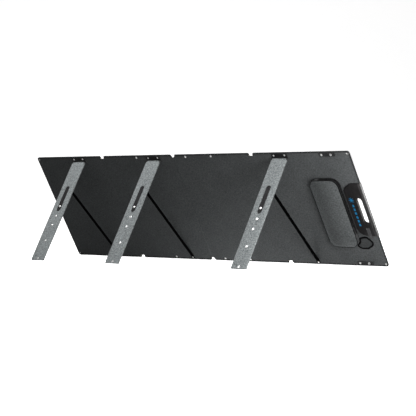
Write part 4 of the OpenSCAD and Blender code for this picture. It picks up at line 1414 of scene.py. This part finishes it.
def flap_radii():
    """radii of the CAD flap's foot outline, with its outward bumps smoothed off"""
    points = local_points("cable_flap")
    hull = convex_hull(points[points[:, 2] < points[:, 2].min() + 0.2][:, :2])
    radii = np.array([flap_radius(2 * math.pi * k / FLAP_COUNT, hull) for k in range(FLAP_COUNT)])
    for _ in range(2):
        radii = np.minimum(radii, (np.roll(radii, 1) + 2 * radii + np.roll(radii, -1)) / 4)
    return radii


def flap_path(radii, inset):
    path = []
    for k, radius in enumerate(radii):
        angle, reach = 2 * math.pi * k / FLAP_COUNT, max(radius - inset, 2.0)
        path.append((FLAP_X + reach * math.cos(angle), FLAP_Y + reach * math.sin(angle)))
    return path


def cable_flap():
    """padded leaf with a thick piped edge"""
    radii = flap_radii()
    verts = [panel(x, y, z) for inset, z in FLAP_RINGS for x, y in flap_path(radii, inset)]
    faces = ring_faces(len(FLAP_RINGS), FLAP_COUNT)
    bottom, top = len(verts), len(verts) + 1
    last = len(verts) - FLAP_COUNT
    verts += [panel(FLAP_X, FLAP_Y, 0.3), panel(FLAP_X, FLAP_Y, 3.55)]
    for k in range(FLAP_COUNT):
        after = (k + 1) % FLAP_COUNT
        faces += [(bottom, after, k), (top, last + k, last + after)]
    pad = make("cable_flap_pad", (verts, faces), FLAP_CLOTH, None, sharp=80)
    puff(pad, pin_below=2.0, cap=0.5, pressure=3.0, frames=14)
    subdivide(pad)
    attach(pad, "flap")
    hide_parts("cable_flap")
    piping = sweep(flap_path(radii, 4.6), ellipse(0, 2.55, 4.5, 2.2, 16), closed=True)
    make("cable_flap_piping", piping, PIPING, "flap", sharp=80)


cable_flap()
finish_cad("junction_box", PLATE, 0.5)
finish_cad("output_cable", RUBBER)
finish_cad("cable_plug", RUBBER, 0.25)

# ------------------------------------------------------------------
# stage, light and camera, in metres
# ------------------------------------------------------------------
ORIGIN = panel(0, 0, 0)
VIEW = math.radians(42.45)         # turn of the backdrop about the vertical


def backdrop():
    """floor that curves up into a wall; the camera sees it near white, and it throws back
    less light than it shows"""
    side = Vector((math.cos(VIEW), math.sin(VIEW), 0))
    away = Vector((-math.sin(VIEW), math.cos(VIEW), 0))
    profile = [(-16.0, 0.0), (4.0, 0.0), *arc(4.0, 4.0, 4.0, -90, 0, 24)[1:], (8.0, 14.0)]
    verts = [side * x + away * y + Vector((0, 0, z + CAD_BOX[0].z - 0.0005))
             for y, z in profile for x in (-16, 16)]
    faces = [(2 * k, 2 * k + 1, 2 * k + 3, 2 * k + 2) for k in range(len(profile) - 1)]
    net = Shader("floor_pale")
    patches = net.noise(net.coord, scale=3.0)
    seen = net.node("ShaderNodeLightPath").outputs["Is Camera Ray"]
    paper = net.tint((0.90, 0.90, 0.90), net.remap(patches, to=(0.99, 1.0)))
    material = net.surface(Base_Color=net.mix(seen, (0.24, 0.24, 0.24), paper), Roughness=0.85,
                           Specular_IOR_Level=0.05, Emission_Color=(1, 1, 1),
                           Emission_Strength=net.mul(seen, 0.74))
    floor = make("floor", (verts, faces), material, recalc=False)
    floor.visible_shadow = False


def area(name, place, aim, size, power):
    """softbox at a place from the panel's origin"""
    light = bpy.data.lights.new(name, "AREA")
    light.shape = "RECTANGLE"
    light.size, light.size_y = size
    light.energy = power
    obj = bpy.data.objects.new(name, light)
    scene.collection.objects.link(obj)
    obj.location = Vector(place) + ORIGIN
    obj.rotation_mode = "QUATERNION"
    obj.rotation_quaternion = (Vector(aim) - Vector(place)).to_track_quat("-Z", "Y")
    obj.visible_camera = False


backdrop()

world = bpy.data.worlds.new("studio")
scene.world = world
world.use_nodes = True
background = world.node_tree.nodes["Background"]
background.inputs["Color"].default_value = (1, 1, 1, 1)
background.inputs["Strength"].default_value = 0.09

# the high one lights the legs, the low one past the handle end rakes along the back, and a
# small one shining up through the floor lifts its lower half
area("high", place=(-0.3, -1.9, 3.6), aim=(-0.2, -0.2, 0.2), size=(5.0, 1.2), power=270)
area("low", place=(1.6, -0.68, 0.15), aim=(0.6, -0.1, 0.22), size=(0.6, 0.55), power=18)
area("under", place=(0.15, 0.134, -0.546), aim=(0.1, -0.12, 0.2), size=(0.4, 0.3), power=10)
area("side", place=(2.6, 1.9, 0.5), aim=(0.98, -0.05, 0.25), size=(1.6, 1.2), power=90)
area("rear", place=(-0.8, 4.0, 3.0), aim=(0, 0, 0.2), size=(4.5, 2.5), power=120)
scene.view_settings.view_transform = "Standard"
scene.view_settings.exposure = 0.0

lens = bpy.data.cameras.new("camera")
lens.lens = 138.63868
lens.sensor_width = 36.0
lens.clip_end = 100
lens.shift_y = 0.0016
camera = bpy.data.objects.new("camera", lens)
scene.collection.objects.link(camera)
camera.rotation_mode = "XYZ"
camera.location = ORIGIN + Vector((5.22755801, -5.80628308, 0.36827712))
camera.rotation_euler = (1.55584025, 0.00375116, 0.74083297)
scene.camera = camera

bpy.context.view_layer.update()
